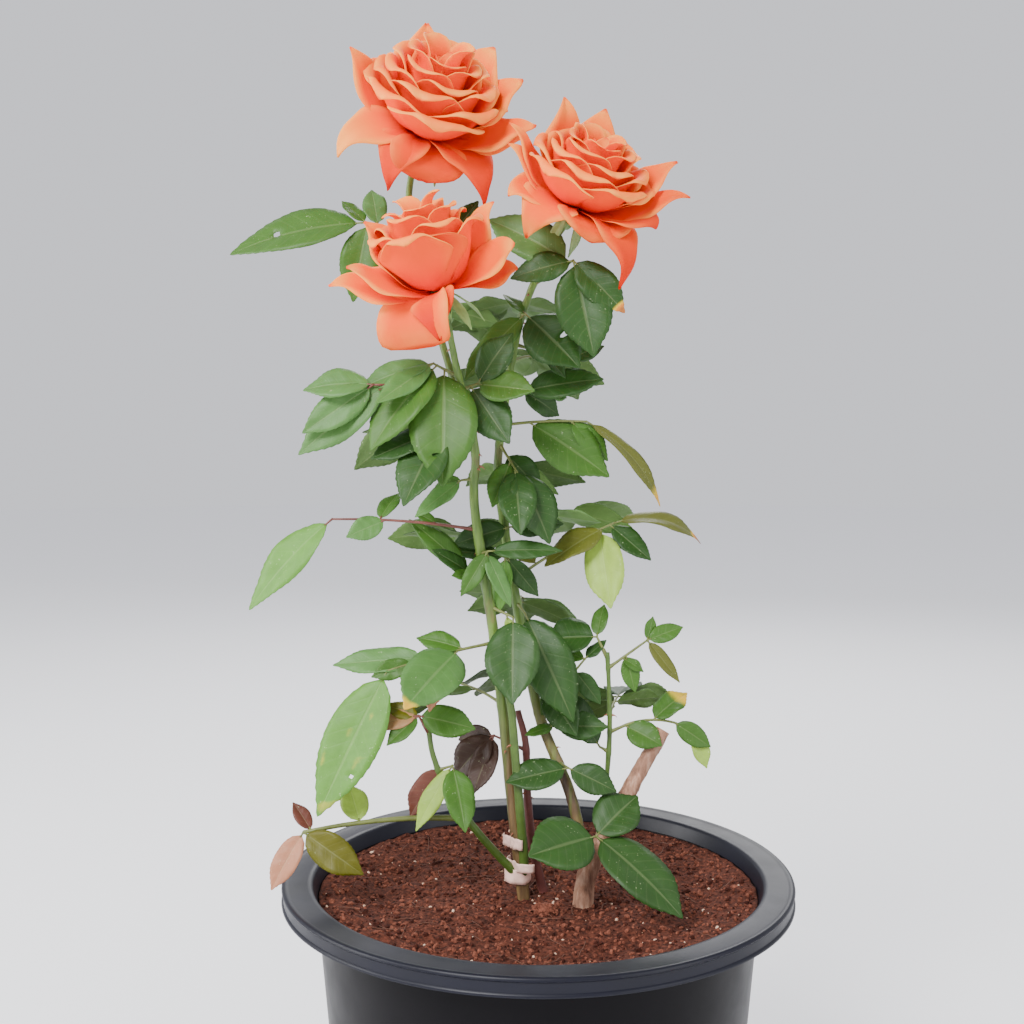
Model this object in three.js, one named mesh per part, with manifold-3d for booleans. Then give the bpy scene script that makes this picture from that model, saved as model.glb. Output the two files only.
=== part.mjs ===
// A potted rose bush: nursery pot, soil, canes, leaf sprays and three open blooms.
// Millimetres, +Z up, origin at the centre of the pot's flat underside, front towards -Y.
import * as THREE from 'three';
import { mergeVertices } from 'three/addons/utils/BufferGeometryUtils.js';
import Module from 'manifold-3d';

const wasm = await Module();
wasm.setup();

// pot
const potHeight = 205;
const potFootRadius = 94.4;
const potNeckRadius = 107;
const potNeckHeight = 190;
const potWall = 2.3;
const rimRadius = 128;
const rimMouthRadius = 112.4;
const rimSkirt = 9;
const rimThickness = 2.6;
const potSides = 34;
const drainHoles = 6;
const drainRadius = 5;
const drainRing = 66;

// soil
const soilLevel = 193.7;
const soilSides = 24;
const soilGap = 0.6;

// plant
const jointGap = 0.3;
const leafThickness = 1;
const twigRadius = 1;
const petalThickness = 1;
const caneSides = 8;
const smallestEdge = 0.02;

const colours = {
  pot: 0x202428, soil: 0x5a2f20, cane: 0x5f7f36, oldCane: 0x7b5a44, leaf: 0x3f6f3c, petal: 0xf2693f,
};

const vec = (x, y, z) => new THREE.Vector3(x, y, z);
const radians = (degrees) => degrees * Math.PI / 180;

function heading(turn, rise) {
  const a = radians(turn), b = radians(rise);
  return vec(Math.cos(a) * Math.cos(b), Math.sin(a) * Math.cos(b), Math.sin(b));
}

function ease(x) {
  const t = Math.min(Math.max(x, 0), 1);
  return t * t * (3 - 2 * t);
}

// the same seed always gives the same run of numbers
function seeded(seed) {
  let x = seed;
  return (low, high) => {
    x = (x * 1664525 + 1013904223) % 4294967296;
    return low + (high - low) * x / 4294967296;
  };
}

function signedVolume(p, index) {
  let sum = 0;
  const a = vec(), b = vec(), c = vec();
  for (let i = 0; i < index.length; i += 3) {
    a.fromArray(p, index[i] * 3);
    b.fromArray(p, index[i + 1] * 3);
    c.fromArray(p, index[i + 2] * 3);
    sum += a.dot(b.cross(c));
  }
  return sum / 6;
}

function solidOf(geometry) {
  const bare = geometry.clone();
  bare.deleteAttribute('normal');
  bare.deleteAttribute('uv');
  const merged = mergeVertices(bare, 1e-4);
  const p = merged.attributes.position.array;
  const index = [];
  const all = merged.index.array;
  for (let i = 0; i < all.length; i += 3) {
    const [a, b, c] = [all[i], all[i + 1], all[i + 2]];
    if (a !== b && b !== c && c !== a) index.push(a, b, c);
  }
  if (signedVolume(p, index) < 0) {
    for (let i = 0; i < index.length; i += 3) [index[i], index[i + 1]] = [index[i + 1], index[i]];
  }
  return new wasm.Manifold(new wasm.Mesh({
    numProp: 3, vertProperties: new Float32Array(p), triVerts: new Uint32Array(index),
  }));
}

// rings of equal length become one closed body with flat ends
function loft(rings) {
  const positions = [], index = [];
  const n = rings[0].length;
  for (const ring of rings) for (const q of ring) positions.push(q.x, q.y, q.z);
  for (let i = 0; i + 1 < rings.length; i++) {
    for (let j = 0; j < n; j++) {
      const a = i * n + j, b = i * n + (j + 1) % n;
      index.push(a, b, b + n, a, b + n, a + n);
    }
  }
  const last = (rings.length - 1) * n;
  for (let j = 1; j + 1 < n; j++) index.push(0, j + 1, j, last, last + j, last + j + 1);
  const geometry = new THREE.BufferGeometry();
  geometry.setAttribute('position', new THREE.Float32BufferAttribute(positions, 3));
  geometry.setIndex(index);
  return geometry;
}

// a round limb along a line of points, its radius given at each of them
function limb(points, radii, sides, flatFoot = false) {
  const rings = [];
  let side = null;
  points.forEach((p, i) => {
    const ahead = points[Math.min(i + 1, points.length - 1)];
    const behind = points[Math.max(i - 1, 0)];
    const along = flatFoot && i === 0 ? vec(0, 0, 1) : ahead.clone().sub(behind).normalize();
    if (!side) side = Math.abs(along.x) < 0.8 ? vec(1, 0, 0) : vec(0, 1, 0);
    side = side.clone().addScaledVector(along, -side.dot(along)).normalize();
    const other = along.clone().cross(side);
    const ring = [];
    for (let j = 0; j < sides; j++) {
      const a = j / sides * Math.PI * 2;
      ring.push(p.clone().addScaledVector(side, radii[i] * Math.cos(a))
        .addScaledVector(other, radii[i] * Math.sin(a)));
    }
    rings.push(ring);
  });
  return solidOf(loft(rings));
}

// a grid of points becomes a sheet of even thickness
function sheet(grid, thickness) {
  const rows = grid.length, cols = grid[0].length;
  const positions = [], index = [];
  for (const half of [0.5, -0.5]) {
    for (let i = 0; i < rows; i++) {
      for (let j = 0; j < cols; j++) {
        const u = grid[Math.min(i + 1, rows - 1)][j].clone().sub(grid[Math.max(i - 1, 0)][j]);
        const v = grid[i][Math.min(j + 1, cols - 1)].clone().sub(grid[i][Math.max(j - 1, 0)]);
        const q = grid[i][j].clone().addScaledVector(u.cross(v).normalize(), thickness * half);
        positions.push(q.x, q.y, q.z);
      }
    }
  }
  const under = rows * cols;
  for (let i = 0; i + 1 < rows; i++) {
    for (let j = 0; j + 1 < cols; j++) {
      const a = i * cols + j, b = a + 1, c = a + cols, d = c + 1;
      index.push(a, c, d, a, d, b);
      index.push(under + a, under + d, under + c, under + a, under + b, under + d);
    }
  }
  const wall = (a, b) => index.push(a, b, under + b, a, under + b, under + a);
  for (let i = 0; i + 1 < rows; i++) {
    wall((i + 1) * cols, i * cols);
    wall(i * cols + cols - 1, (i + 1) * cols + cols - 1);
  }
  for (let j = 0; j + 1 < cols; j++) {
    wall(j, j + 1);
    wall((rows - 1) * cols + j + 1, (rows - 1) * cols + j);
  }
  const geometry = new THREE.BufferGeometry();
  geometry.setAttribute('position', new THREE.Float32BufferAttribute(positions, 3));
  geometry.setIndex(index);
  return solidOf(geometry);
}

function lathe(profile, sides) {
  const geometry = new THREE.LatheGeometry(profile.map(([r, z]) => new THREE.Vector2(r, z)), sides);
  return geometry.rotateX(Math.PI / 2);
}

// joins pieces, then keeps the largest body, which drops scraps and fills sealed hollows
function fuse(pieces) {
  let whole = pieces[0];
  for (const piece of pieces.slice(1)) whole = whole.add(piece);
  const bodies = whole.simplify(smallestEdge).decompose();
  return bodies.reduce((best, one) => (one.volume() > best.volume() ? one : best));
}

const group = new THREE.Group();

function place(name, solid, colour, roughness) {
  const { numProp, vertProperties, triVerts } = solid.getMesh();
  const positions = [];
  for (let i = 0; i < vertProperties.length; i += numProp) {
    positions.push(vertProperties[i], vertProperties[i + 1], vertProperties[i + 2]);
  }
  const geometry = new THREE.BufferGeometry();
  geometry.setAttribute('position', new THREE.Float32BufferAttribute(positions, 3));
  geometry.setIndex(Array.from(triVerts));
  geometry.computeVertexNormals();
  const material = new THREE.MeshStandardMaterial({ color: colour, roughness, metalness: 0 });
  const mesh = new THREE.Mesh(geometry, material);
  mesh.name = name;
  group.add(mesh);
}

function makePot() {
  const inner = potWall + 0.2;
  const profile = [
    [0, 0], [potFootRadius - 1.5, 0], [potFootRadius, 1.5], [potNeckRadius, potNeckHeight],
    [potNeckRadius + 1.6, potHeight - 7], [potNeckRadius + 5, potHeight - rimThickness],
    [rimRadius - potWall, potHeight - rimThickness - 0.4], [rimRadius - potWall, potHeight - rimSkirt],
    [rimRadius, potHeight - rimSkirt], [rimRadius, potHeight - 1.4], [rimRadius - 1.4, potHeight],
    [rimMouthRadius + 1.4, potHeight], [rimMouthRadius, potHeight - 1.2],
    [potNeckRadius - inner + 1.2, potNeckHeight + 6], [potNeckRadius - inner, potNeckHeight],
    [potFootRadius - inner, 3], [0, 3],
  ];
  let pot = solidOf(lathe(profile, potSides));
  for (let i = 0; i < drainHoles; i++) {
    const a = (i + 0.5) / drainHoles * Math.PI * 2;
    const hole = new THREE.CylinderGeometry(drainRadius, drainRadius, 12, 8).rotateX(Math.PI / 2);
    hole.translate(drainRing * Math.cos(a), drainRing * Math.sin(a), 1.5);
    pot = pot.subtract(solidOf(hole));
  }
  return pot;
}

// level where the canes stand, then lumpy down to the wall
function makeSoil() {
  const random = seeded(11);
  const inner = potWall + 0.2 + soilGap;
  const wallTop = potNeckRadius - inner;
  const geometry = lathe([
    [0, 3.4], [potFootRadius - inner, 3.4], [wallTop, potNeckHeight], [wallTop - 6, soilLevel - 1.6],
    [84, soilLevel - 1], [66, soilLevel - 0.6], [46, soilLevel], [0, soilLevel],
  ], soilSides);
  const p = geometry.attributes.position;
  const lumps = [];
  for (let i = 0; i < 40; i++) {
    lumps.push([random(50, 96), random(0, 360), random(-1.6, 2.2), random(7, 15)]);
  }
  for (let i = 0; i < p.count; i++) {
    const x = p.getX(i), y = p.getY(i), r = Math.hypot(x, y);
    if (p.getZ(i) < potNeckHeight + 1 || r < 50) continue;
    let lift = 0;
    for (const [reach, turn, height, spread] of lumps) {
      const dx = x - reach * Math.cos(radians(turn)), dy = y - reach * Math.sin(radians(turn));
      lift += height * Math.exp(-(dx * dx + dy * dy) / spread / spread);
    }
    p.setZ(i, p.getZ(i) + lift);
  }
  return solidOf(geometry);
}

const canes = {
  left_cane: { foot: 3.2, tip: 1.4,
    points: [[-7, -9, 194], [-13, -8, 245], [-21, -8, 320], [-31, -10, 388], [-31, -14, 420],
      [-39, -25, 456], [-44, -35, 485]] },
  old_cane: { foot: 5.2, tip: 3.6, points: [[22, -18, 194], [25, -15, 210], [42, -8, 242], [63, 0, 277]] },
  middle_cane: { foot: 2.4, tip: 1.6,
    points: [[3, 0, 194], [-2, 1, 215], [-5, 2, 241], [-6, 3, 269], [-10, 4, 286]] },
  right_cane: { from: 'old_cane', height: 209, foot: 2.9, tip: 1.5,
    points: [[16, -8, 247], [1, 1, 284], [-9, 6, 332], [-16, 8, 374], [-20, 8, 410], [-15, 6, 450],
      [-8, 2, 484], [5, -2, 515], [14, -4, 529]] },
  flower_stem: { from: 'left_cane', height: 416, foot: 1.9, tip: 1.6,
    points: [[-40, 0, 446], [-50, 8, 478], [-60, 10, 511], [-64, 8, 540], [-60, 5, 565]] },
  side_shoot: { from: 'old_cane', height: 214, foot: 1.5, tip: 1,
    points: [[33, -2, 237], [36, 0, 270], [36, 2, 294], [35, 3, 316]] },
  low_shoot: { from: 'left_cane', height: 203, foot: 2.2, tip: 1.1,
    points: [[-29, -14, 228], [-43, -18, 249], [-51, -20, 268], [-54, -20, 286]] },
};

// a new limb starts where its root, made a little thicker, just clears the limb it grows from
function seatOn(cane, height, aim, radius, sides) {
  let low = 0, high = 1;
  for (let i = 0; i < 30; i++) {
    const t = (low + high) / 2;
    if (cane.curve.getPoint(t).z < height) low = t; else high = t;
  }
  const point = cane.curve.getPoint(low);
  const d = aim(point);
  for (let reach = cane.tip * 0.8; ; reach += 0.1) {
    const start = point.clone().addScaledVector(d, reach);
    const ends = [-jointGap, 4].map((step) => start.clone().addScaledVector(d, step));
    const root = limb(ends, [radius + jointGap, radius + jointGap], sides);
    if (root.intersect(cane.solid).volume() < 1e-7) return start;
  }
}

function growCane(cane) {
  const points = cane.points.map((p) => vec(...p));
  if (cane.from) {
    points.unshift(seatOn(canes[cane.from], cane.height,
      (root) => points[0].clone().sub(root).normalize(), cane.foot, caneSides));
  }
  cane.curve = new THREE.CatmullRomCurve3(points, false, 'catmullrom', 0.5);
  const steps = points.length * 2;
  const line = [], radii = [];
  for (let i = 0; i <= steps; i++) {
    line.push(cane.curve.getPoint(i / steps));
    radii.push(cane.foot + (cane.tip - cane.foot) * i / steps);
  }
  cane.solid = limb(line, radii, caneSides, !cane.from);
  return cane.solid;
}

// each outer petal: turn about the bloom, profile of four [radius, height] points, width,
// how far it wraps, how far its sides roll back, how blunt its tip is, where it begins to taper, twist
const blooms = {
  bloom_top: { cane: 'flower_stem', base: [-56, 3, 571], lean: [20, 33], wide: 1, tall: 0.96, fall: 20,
    turns: 24, seed: 3,
    outer: [
      [172, [5, 2], [24, 4], [36, 22], [42, 33], 38, 1.3, 50, 1.1, 0.3, -25],
      [214, [5, 2], [22, 6], [38, 8], [51, -9], 50, 2, 45, 1, 0.25, -15],
      [248, [5, 1], [22, 6], [36, 6], [38, -22], 34, 1.6, 50, 1, 0.35, 0],
      [276, [5, 1], [20, 4], [32, 4], [38, -10], 46, 1.2, 15, 3, 0.6, 0],
      [313, [5, 1], [24, 6], [40, 8], [56, -7], 48, 1.6, 50, 1, 0.25, 0],
      [346, [5, 2], [28, 4], [40, 18], [48, 30], 40, 1.4, 60, 1.2, 0.4, 15],
      [358, [5, 2], [28, 4], [38, 16], [48, 18], 42, 1.4, 60, 1.1, 0.4, 15],
      [20, [5, 2], [26, 4], [32, 26], [38, 40], 40, 1.2, 60, 1.4, 0.5, 0],
      [55, [5, 2], [26, 4], [30, 30], [36, 45], 40, 1.2, 60, 1.4, 0.5, 0],
      [108, [5, 2], [26, 4], [28, 30], [33, 45], 38, 1.2, 70, 1.2, 0.5, 0],
    ] },
  bloom_right: { cane: 'right_cane', base: [17, -4, 535], lean: [24, 30], wide: 0.9, tall: 0.84, fall: 16,
    turns: 22, seed: 5,
    outer: [
      [202, [5, 2], [24, 4], [32, 8], [38, 1], 38, 1.4, 50, 1, 0.35, -15],
      [230, [5, 2], [22, 6], [32, 8], [36, -14], 42, 2, 40, 1, 0.35, 0],
      [180, [5, 2], [24, 4], [32, 22], [42, 32], 22, 1.2, 60, 1, 0.4, -20],
      [188, [5, 2], [24, 4], [32, 18], [41, 24], 22, 1.2, 60, 1, 0.4, -20],
      [284, [5, 1], [20, 4], [32, 6], [36, 0], 42, 1.4, 30, 1.6, 0.5, 0],
      [309, [5, 1], [24, 8], [42, 8], [54, -15], 38, 1.6, 60, 1, 0.25, 0],
      [332, [5, 2], [26, 4], [36, 18], [43, 14], 42, 1.4, 50, 1.1, 0.4, 10],
      [352, [5, 2], [26, 4], [36, 22], [47, 32], 36, 1.4, 60, 1, 0.35, 15],
      [14, [5, 2], [26, 4], [30, 24], [37, 40], 36, 1.2, 60, 1.2, 0.5, 0],
      [88, [5, 2], [22, 4], [24, 28], [27, 45], 36, 1.2, 60, 1.2, 0.5, 0],
      [124, [5, 2], [22, 4], [26, 28], [32, 44], 36, 1.2, 60, 1, 0.5, 0],
    ] },
  bloom_front: { cane: 'left_cane', base: [-46, -36, 491], lean: [-14, 12], wide: 0.74, tall: 0.95, fall: 12,
    turns: 16, seed: 7,
    outer: [
      [190, [4, 2], [22, 4], [34, 14], [48, 22], 34, 1.6, 40, 1, 0.35, -35],
      [206, [4, 2], [22, 4], [32, 18], [39, 26], 34, 1.4, 50, 1.2, 0.4, -30],
      [240, [4, 1], [16, 2], [24, 0], [30, -20], 38, 1.6, 20, 4, 0.55, 0],
      [262, [4, 2], [20, 4], [22, 24], [25, 32], 46, 1.2, 35, 1.8, 0.6, 0],
      [343, [4, 2], [20, 4], [32, 14], [40, 18], 28, 1.2, 70, 1.8, 0.5, 35],
      [356, [4, 2], [22, 2], [30, 4], [38, 6], 26, 1.2, 60, 1.8, 0.5, 30],
      [17, [4, 2], [18, 6], [24, 26], [32, 38], 28, 1.2, 60, 1, 0.4, 40],
      [168, [4, 2], [18, 6], [20, 28], [23, 42], 40, 1.2, 50, 1.2, 0.5, -20],
    ] },
};
const innerTurns = 0.92;
const whorlRows = [0, 0.45, 0.75, 0.95];
const outerRows = [0, 0.35, 0.62, 0.84, 0.98];

function bezier(profile, s) {
  const t = 1 - s;
  const k = [t * t * t, 3 * s * t * t, 3 * s * s * t, s * s * s];
  return [0, 1].map((axis) => profile.reduce((sum, p, i) => sum + k[i] * p[axis], 0));
}

// a petal follows its profile outwards, wraps round the bloom and rolls back at its sides
function petalGrid([turn, p0, p1, p2, p3, width, wrap, roll, blunt, taper, twist], rows, cols) {
  const profile = [p0, p1, p2, p3];
  const out = heading(turn, 0), across = heading(turn + 90, 0), up = vec(0, 0, 1);
  const cosTwist = Math.cos(radians(twist)), sinTwist = Math.sin(radians(twist));
  return rows.map((s) => {
    const [r, z] = bezier(profile, s);
    const [r1, z1] = bezier(profile, Math.max(s - 0.01, 0));
    const [r2, z2] = bezier(profile, Math.min(s + 0.01, 1));
    const level = up.clone().multiplyScalar(r2 - r1).addScaledVector(out, z1 - z2).normalize();
    const side = across.clone().multiplyScalar(cosTwist).addScaledVector(level, sinTwist);
    const inward = level.multiplyScalar(cosTwist).addScaledVector(across, -sinTwist);
    const grow = 0.3 + 0.7 * ease(s / 0.6);
    const left = s < taper ? 1 : Math.max(0, 1 - ((s - taper) / (1 - taper)) ** blunt);
    const half = width / 2 * grow * left;
    const curl = Math.min(half / Math.max(r * wrap, 5), 1.35);
    const back = radians(roll) * ease((s - 0.3) / 0.4);
    const row = new Array(cols + 1), middle = cols / 2;
    row[middle] = out.clone().multiplyScalar(r).addScaledVector(up, z);
    for (const hand of [-1, 1]) {
      const q = row[middle].clone();
      for (let j = 0; j < middle; j++) {
        const u = (j + 0.5) / middle;
        const a = curl * u - back * Math.max(0, (u - 0.62) / 0.38);
        q.addScaledVector(side, hand * Math.cos(a) * half / middle);
        q.addScaledVector(inward, Math.sin(a) * half / middle);
        row[middle + hand * (j + 1)] = q.clone();
      }
    }
    return row;
  });
}

function whorlPetals(bloom) {
  const random = seeded(bloom.seed);
  const petals = [];
  for (let k = 0; k < bloom.turns; k++) {
    const t = k / (bloom.turns - 1);
    const turn = k * 137.5 + random(-10, 10);
    const reach = (6 + 24 * t) * bloom.wide * random(0.94, 1.06);
    const top = (50 - bloom.fall * t) * bloom.tall * random(0.95, 1.05);
    petals.push([turn, [2 + 3 * t, 3], [reach * 0.8 + 6, 5], [reach * (0.9 + 0.1 * t), top * 0.9],
      [reach + (2 + 9 * t) * bloom.wide, top - t], (26 + 26 * t) * bloom.wide,
      1.1, 20 + 60 * t, 2.4 - 1.3 * t, 0.6 - 0.1 * t, 0]);
  }
  return petals;
}

function makeBloom(bloom) {
  const [right, front] = bloom.lean.map((angle) => Math.tan(radians(angle)));
  const axis = vec(right, -front, 1).normalize();
  const across = vec(1, 0, 0).addScaledVector(axis, -axis.x).normalize();
  const frame = new THREE.Matrix4().makeBasis(across, axis.clone().cross(across), axis);
  frame.setPosition(...bloom.base);
  const whorl = whorlPetals(bloom).filter((petal, k) => k >= bloom.turns * innerTurns);
  const grids = whorl.map((petal) => petalGrid(petal, whorlRows, 2))
    .concat(bloom.outer.map((petal) => petalGrid(petal, outerRows, 2)));
  const pieces = grids.map((grid) => {
    for (const row of grid) for (const q of row) q.applyMatrix4(frame);
    return sheet(grid, petalThickness);
  });
  const w = bloom.wide, h = bloom.tall;
  const bud = lathe([[0, -6], [4, -5], [5.8, -1], [15 * w, 6], [22 * w, 20], [20 * w, 34 * h],
    [12 * w, 45 * h], [0, 47 * h]], 9);
  pieces.unshift(solidOf(bud.applyMatrix4(frame)));
  for (let i = 0; i < 5; i++) {
    const d = heading(i * 72 + 20, -35);
    const root = heading(i * 72 + 20, 0).multiplyScalar(3).add(vec(0, 0, -3));
    const face = heading(i * 72 + 20, 55);
    const rows = bladeRows(root, d, face, 20, 0.26, 10, [0, 0.45]);
    pieces.push(bladeSolid(root, rows, 0.6).transform(frame.toArray()));
  }
  const cane = canes[bloom.cane];
  const start = cane.curve.getPoint(1), along = cane.curve.getTangent(1);
  start.addScaledVector(along, jointGap);
  const end = vec(...bloom.base).addScaledVector(axis, -3);
  const neck = [start, start.clone().addScaledVector(along, 1.5), end];
  pieces.push(limb(neck, [cane.tip, cane.tip, 3], caneSides));
  return fuse(pieces);
}

// name, cane and height it grows at, stalk [turn, rise, length, bend], then its leaflets:
// place along the stalk, turn, rise, length, breadth over length and droop
const sprays = [
  ['flower_left', 'flower_stem', 525, [180, 13, 21, 0],
    [[1, 184, -4, 67, 0.45], [0.7, 110, 60, 24], [1, 150, 42, 18], [0.95, 235, -72, 38]]],
  ['flower_back', 'flower_stem', 506, [30, 45, 12, 0],
    [[1, 20, 52, 32], [1, 75, 20, 26], [0.8, 340, 10, 20]]],
  ['right_top', 'right_cane', 499, [330, 25, 20, 0],
    [[1, 310, -72, 46, 0.6], [1, 335, -42, 34], [1, 190, -12, 30], [0.9, 165, 32, 46]]],
  ['right_neck', 'right_cane', 484, [285, 0, 5, 0],
    [[1, 336, -42, 36, 0.8], [0.8, 150, 48, 16], [0.6, 213, -38, 44, 0.36]]],
  ['right_far', 'right_cane', 470, [2, -17, 24, 0], [[1, 8, 22, 20], [0.5, 330, -40, 17], [0.9, 70, 10, 20]]],
  ['right_upper', 'right_cane', 447, [350, 0, 6, 0],
    [[1, 348, 11, 38, 0.48], [0.9, 20, -28, 24], [1, 40, -5, 28]]],
  ['right_drooping', 'right_cane', 430, [355, 6, 40, 10],
    [[0.28, 342, -30, 46, 0.6], [0.8, 350, -42, 26], [1, 350, -26, 58, 0.18, 45]]],
  ['centre', 'right_cane', 421, [300, -38, 18, 0],
    [[0.3, 330, -40, 24, 0.62], [1, 318, -52, 38, 0.6], [0.9, 276, -48, 36], [0.6, 240, -50, 26]]],
  ['centre_low', 'right_cane', 378, [285, 10, 5, 0], [[1, 352, 8, 26, 0.55], [1, 196, -14, 28, 0.5]]],
  ['left_neck', 'left_cane', 447, [355, 20, 6, 0],
    [[1, 350, 58, 28, 0.6], [0.9, 330, -6, 30, 0.6], [0.4, 320, -48, 34, 0.6]]],
  ['left_upper', 'left_cane', 453, [185, 28, 10, 0],
    [[1, 190, -12, 36, 0.45], [1, 219, -30, 36, 0.35], [0.4, 270, -58, 62, 0.56], [0.8, 216, -40, 50, 0.5]]],
  ['left_outer', 'left_cane', 446, [195, 7, 40, 8],
    [[1, 184, 4, 32, 0.6], [1, 190, -34, 38, 0.45], [0.85, 190, -36, 50, 0.4]]],
  ['left_hanging', 'left_cane', 436, [228, -22, 20, 0],
    [[1, 190, -22, 32], [0.9, 236, -50, 42, 0.56], [0.6, 220, -50, 30]]],
  ['left_small', 'left_cane', 404, [200, -5, 4, 0], [[1, 206, -34, 28, 0.4], [0.9, 170, -10, 14]]],
  ['left_long', 'left_cane', 379, [183, 8, 68, 10],
    [[1, 190, -40, 58, 0.36, 24], [0.62, 205, -20, 20, 0.6], [0.66, 60, 45, 20], [0.25, 160, 30, 12]]],
  ['left_middle', 'left_cane', 351, [178, 40, 5, 0],
    [[1, 176, 43, 38, 0.35], [0.9, 200, 34, 22], [0.5, 230, 10, 14]]],
  ['front_middle', 'left_cane', 341, [335, -20, 10, 0], [[1, 268, -54, 42, 0.64], [0.6, 306, -62, 28, 0.28]]],
  ['middle_left', 'left_cane', 367, [300, 15, 5, 0],
    [[1, 352, 4, 34, 0.3], [0.8, 205, -56, 24, 0.4], [0.5, 325, -60, 28, 0.36]]],
  ['middle_right', 'right_cane', 363, [255, 10, 6, 0],
    [[1, 192, 12, 26, 0.42], [0.8, 250, -68, 26, 0.42], [0.4, 345, -48, 24, 0.45]]],
  ['left_low', 'left_cane', 323, [192, -10, 52, 8],
    [[0.25, 168, 16, 24], [0.6, 178, -2, 45, 0.45], [0.3, 240, -20, 46, 0.62], [1, 210, -60, 72, 0.48],
      [0.4, 258, -32, 32, 0.55], [0.75, 195, -15, 20]]],
  ['right_slope', 'right_cane', 341, [295, -24, 7, 0], [[1, 310, -52, 56, 0.45]]],
  ['right_middle', 'right_cane', 352, [4, 34, 56, 14],
    [[0.2, 150, 35, 19], [0.9, 205, -24, 36], [1, 352, 16, 48, 0.26, 75], [0.95, 338, -38, 26],
      [0.85, 280, -60, 40]]],
  ['right_rising', 'right_cane', 285, [5, 50, 32, 0],
    [[1, 20, 40, 14], [1, 160, 15, 14], [0.6, 150, 50, 22], [0.75, 330, -45, 20]]],
  ['right_inner', 'right_cane', 304, [330, -30, 5, 0], [[1, 322, -48, 28, 0.6], [0.8, 275, -80, 16, 0.22]]],
  ['front_inner', 'right_cane', 280, [330, 0, 4, 0], [[1, 350, 2, 25, 0.6], [0.8, 200, -12, 15]]],
  ['front_low', 'right_cane', 262, [300, -5, 6, 0], [[1, 192, -8, 30, 0.6], [1, 343, -20, 25, 0.6]]],
  ['foot_front', 'old_cane', 224, [255, 25, 13, 0],
    [[1, 212, -2, 36, 0.85], [1, 25, 40, 28, 0.85], [1, 318, -22, 54, 0.5]]],
  ['shoot_tip', 'side_shoot', 313, [150, 60, 7, 0], [[1, 168, -2, 27, 0.9], [1, 70, 60, 18]]],
  ['shoot_high', 'side_shoot', 308, [5, 35, 22, 0],
    [[0.3, 340, -25, 12], [0.4, 315, -70, 18], [1, 5, 22, 19], [1, 50, 65, 12], [1, 335, -48, 25, 0.3]]],
  ['shoot_left', 'side_shoot', 266, [185, 30, 3, 0], [[1, 168, 55, 34, 0.5]]],
  ['shoot_right', 'side_shoot', 276, [2, 22, 42, 60],
    [[0.15, 330, -18, 20, 0.75], [0.5, 20, 40, 22, 0.7], [0.75, 345, -30, 21], [1, 332, -66, 19]]],
  ['low_shoot_tip', 'low_shoot', 280, [200, 60, 5, 0],
    [[1, 185, -8, 24, 0.45], [1, 348, -8, 27, 0.6], [0.8, 170, 20, 18], [1, 212, -34, 20]]],
  ['low_shoot_middle', 'low_shoot', 262, [345, 20, 6, 0],
    [[1, 213, -50, 34, 0.4], [0.2, 176, -52, 30], [1, 290, -50, 32, 0.5]]],
  ['dead_leaf', 'middle_cane', 266, [180, 25, 15, 0],
    [[1, 195, -38, 28, 0.7], [1, 150, -10, 24], [1, 235, -55, 30, 0.5]]],
  ['low_left', 'low_shoot', 237, [190, 3, 76, 14],
    [[0.52, 120, 50, 20, 0.7], [0.95, 150, 50, 16], [1, 335, -26, 36, 0.6], [1, 220, -50, 29, 0.45]]],
];

// behind the bush the leaflets are dealt out by chance: name, cane, height, turn
const backSprays = [
  ['back_top', 'flower_stem', 486, 75], ['back_upper_right', 'right_cane', 462, 62],
  ['back_upper_left', 'flower_stem', 450, 110], ['back_right', 'right_cane', 405, 72],
  ['back_left', 'left_cane', 372, 108], ['back_middle', 'right_cane', 335, 88],
  ['back_low_left', 'left_cane', 292, 122], ['back_low_right', 'side_shoot', 285, 78],
  ['back_neck', 'right_cane', 489, 100], ['back_side_left', 'left_cane', 427, 146],
  ['back_side_right', 'right_cane', 381, 38],
];
const leastLeaflet = 18;

for (const [name, cane, height, turn] of backSprays) {
  const random = seeded(height);
  const stalk = [turn, random(0, 25), random(30, 44), 14];
  const leaflets = [[1, turn, random(-30, 5), random(38, 46)]];
  for (const [along, share] of [[0.95, 0.85], [0.55, 0.72]]) {
    for (const hand of [-1, 1]) {
      leaflets.push([along, turn + hand * random(50, 70), random(-25, 5), random(36, 44) * share]);
    }
  }
  sprays.push([name, cane, height, stalk, leaflets]);
}

const bladeStations = [0, 0.3, 0.7];
const bladeBreadth = 0.52;
const fold = 0.06;

// rows of [middle, left edge, right edge, normal] down a blade that droops along its length
function bladeRows(start, direction, face, length, breadth, droop, stations) {
  const across = direction.clone().cross(face).normalize();
  const rows = [];
  let p = start.clone(), d = direction.clone(), last = 0;
  for (const s of stations.concat([1])) {
    const step = s - last;
    d = d.clone().applyAxisAngle(across, -radians(droop * step / 2));
    p = p.clone().addScaledVector(d, length * step);
    d = d.clone().applyAxisAngle(across, -radians(droop * step / 2));
    const normal = across.clone().cross(d).normalize();
    const half = s > 0 && s < 1 ? breadth * length / 2 * Math.sin(Math.PI * s ** 0.8) ** 0.68 : 0;
    rows.push({ p, normal, across, half });
    last = s;
  }
  return rows;
}

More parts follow.
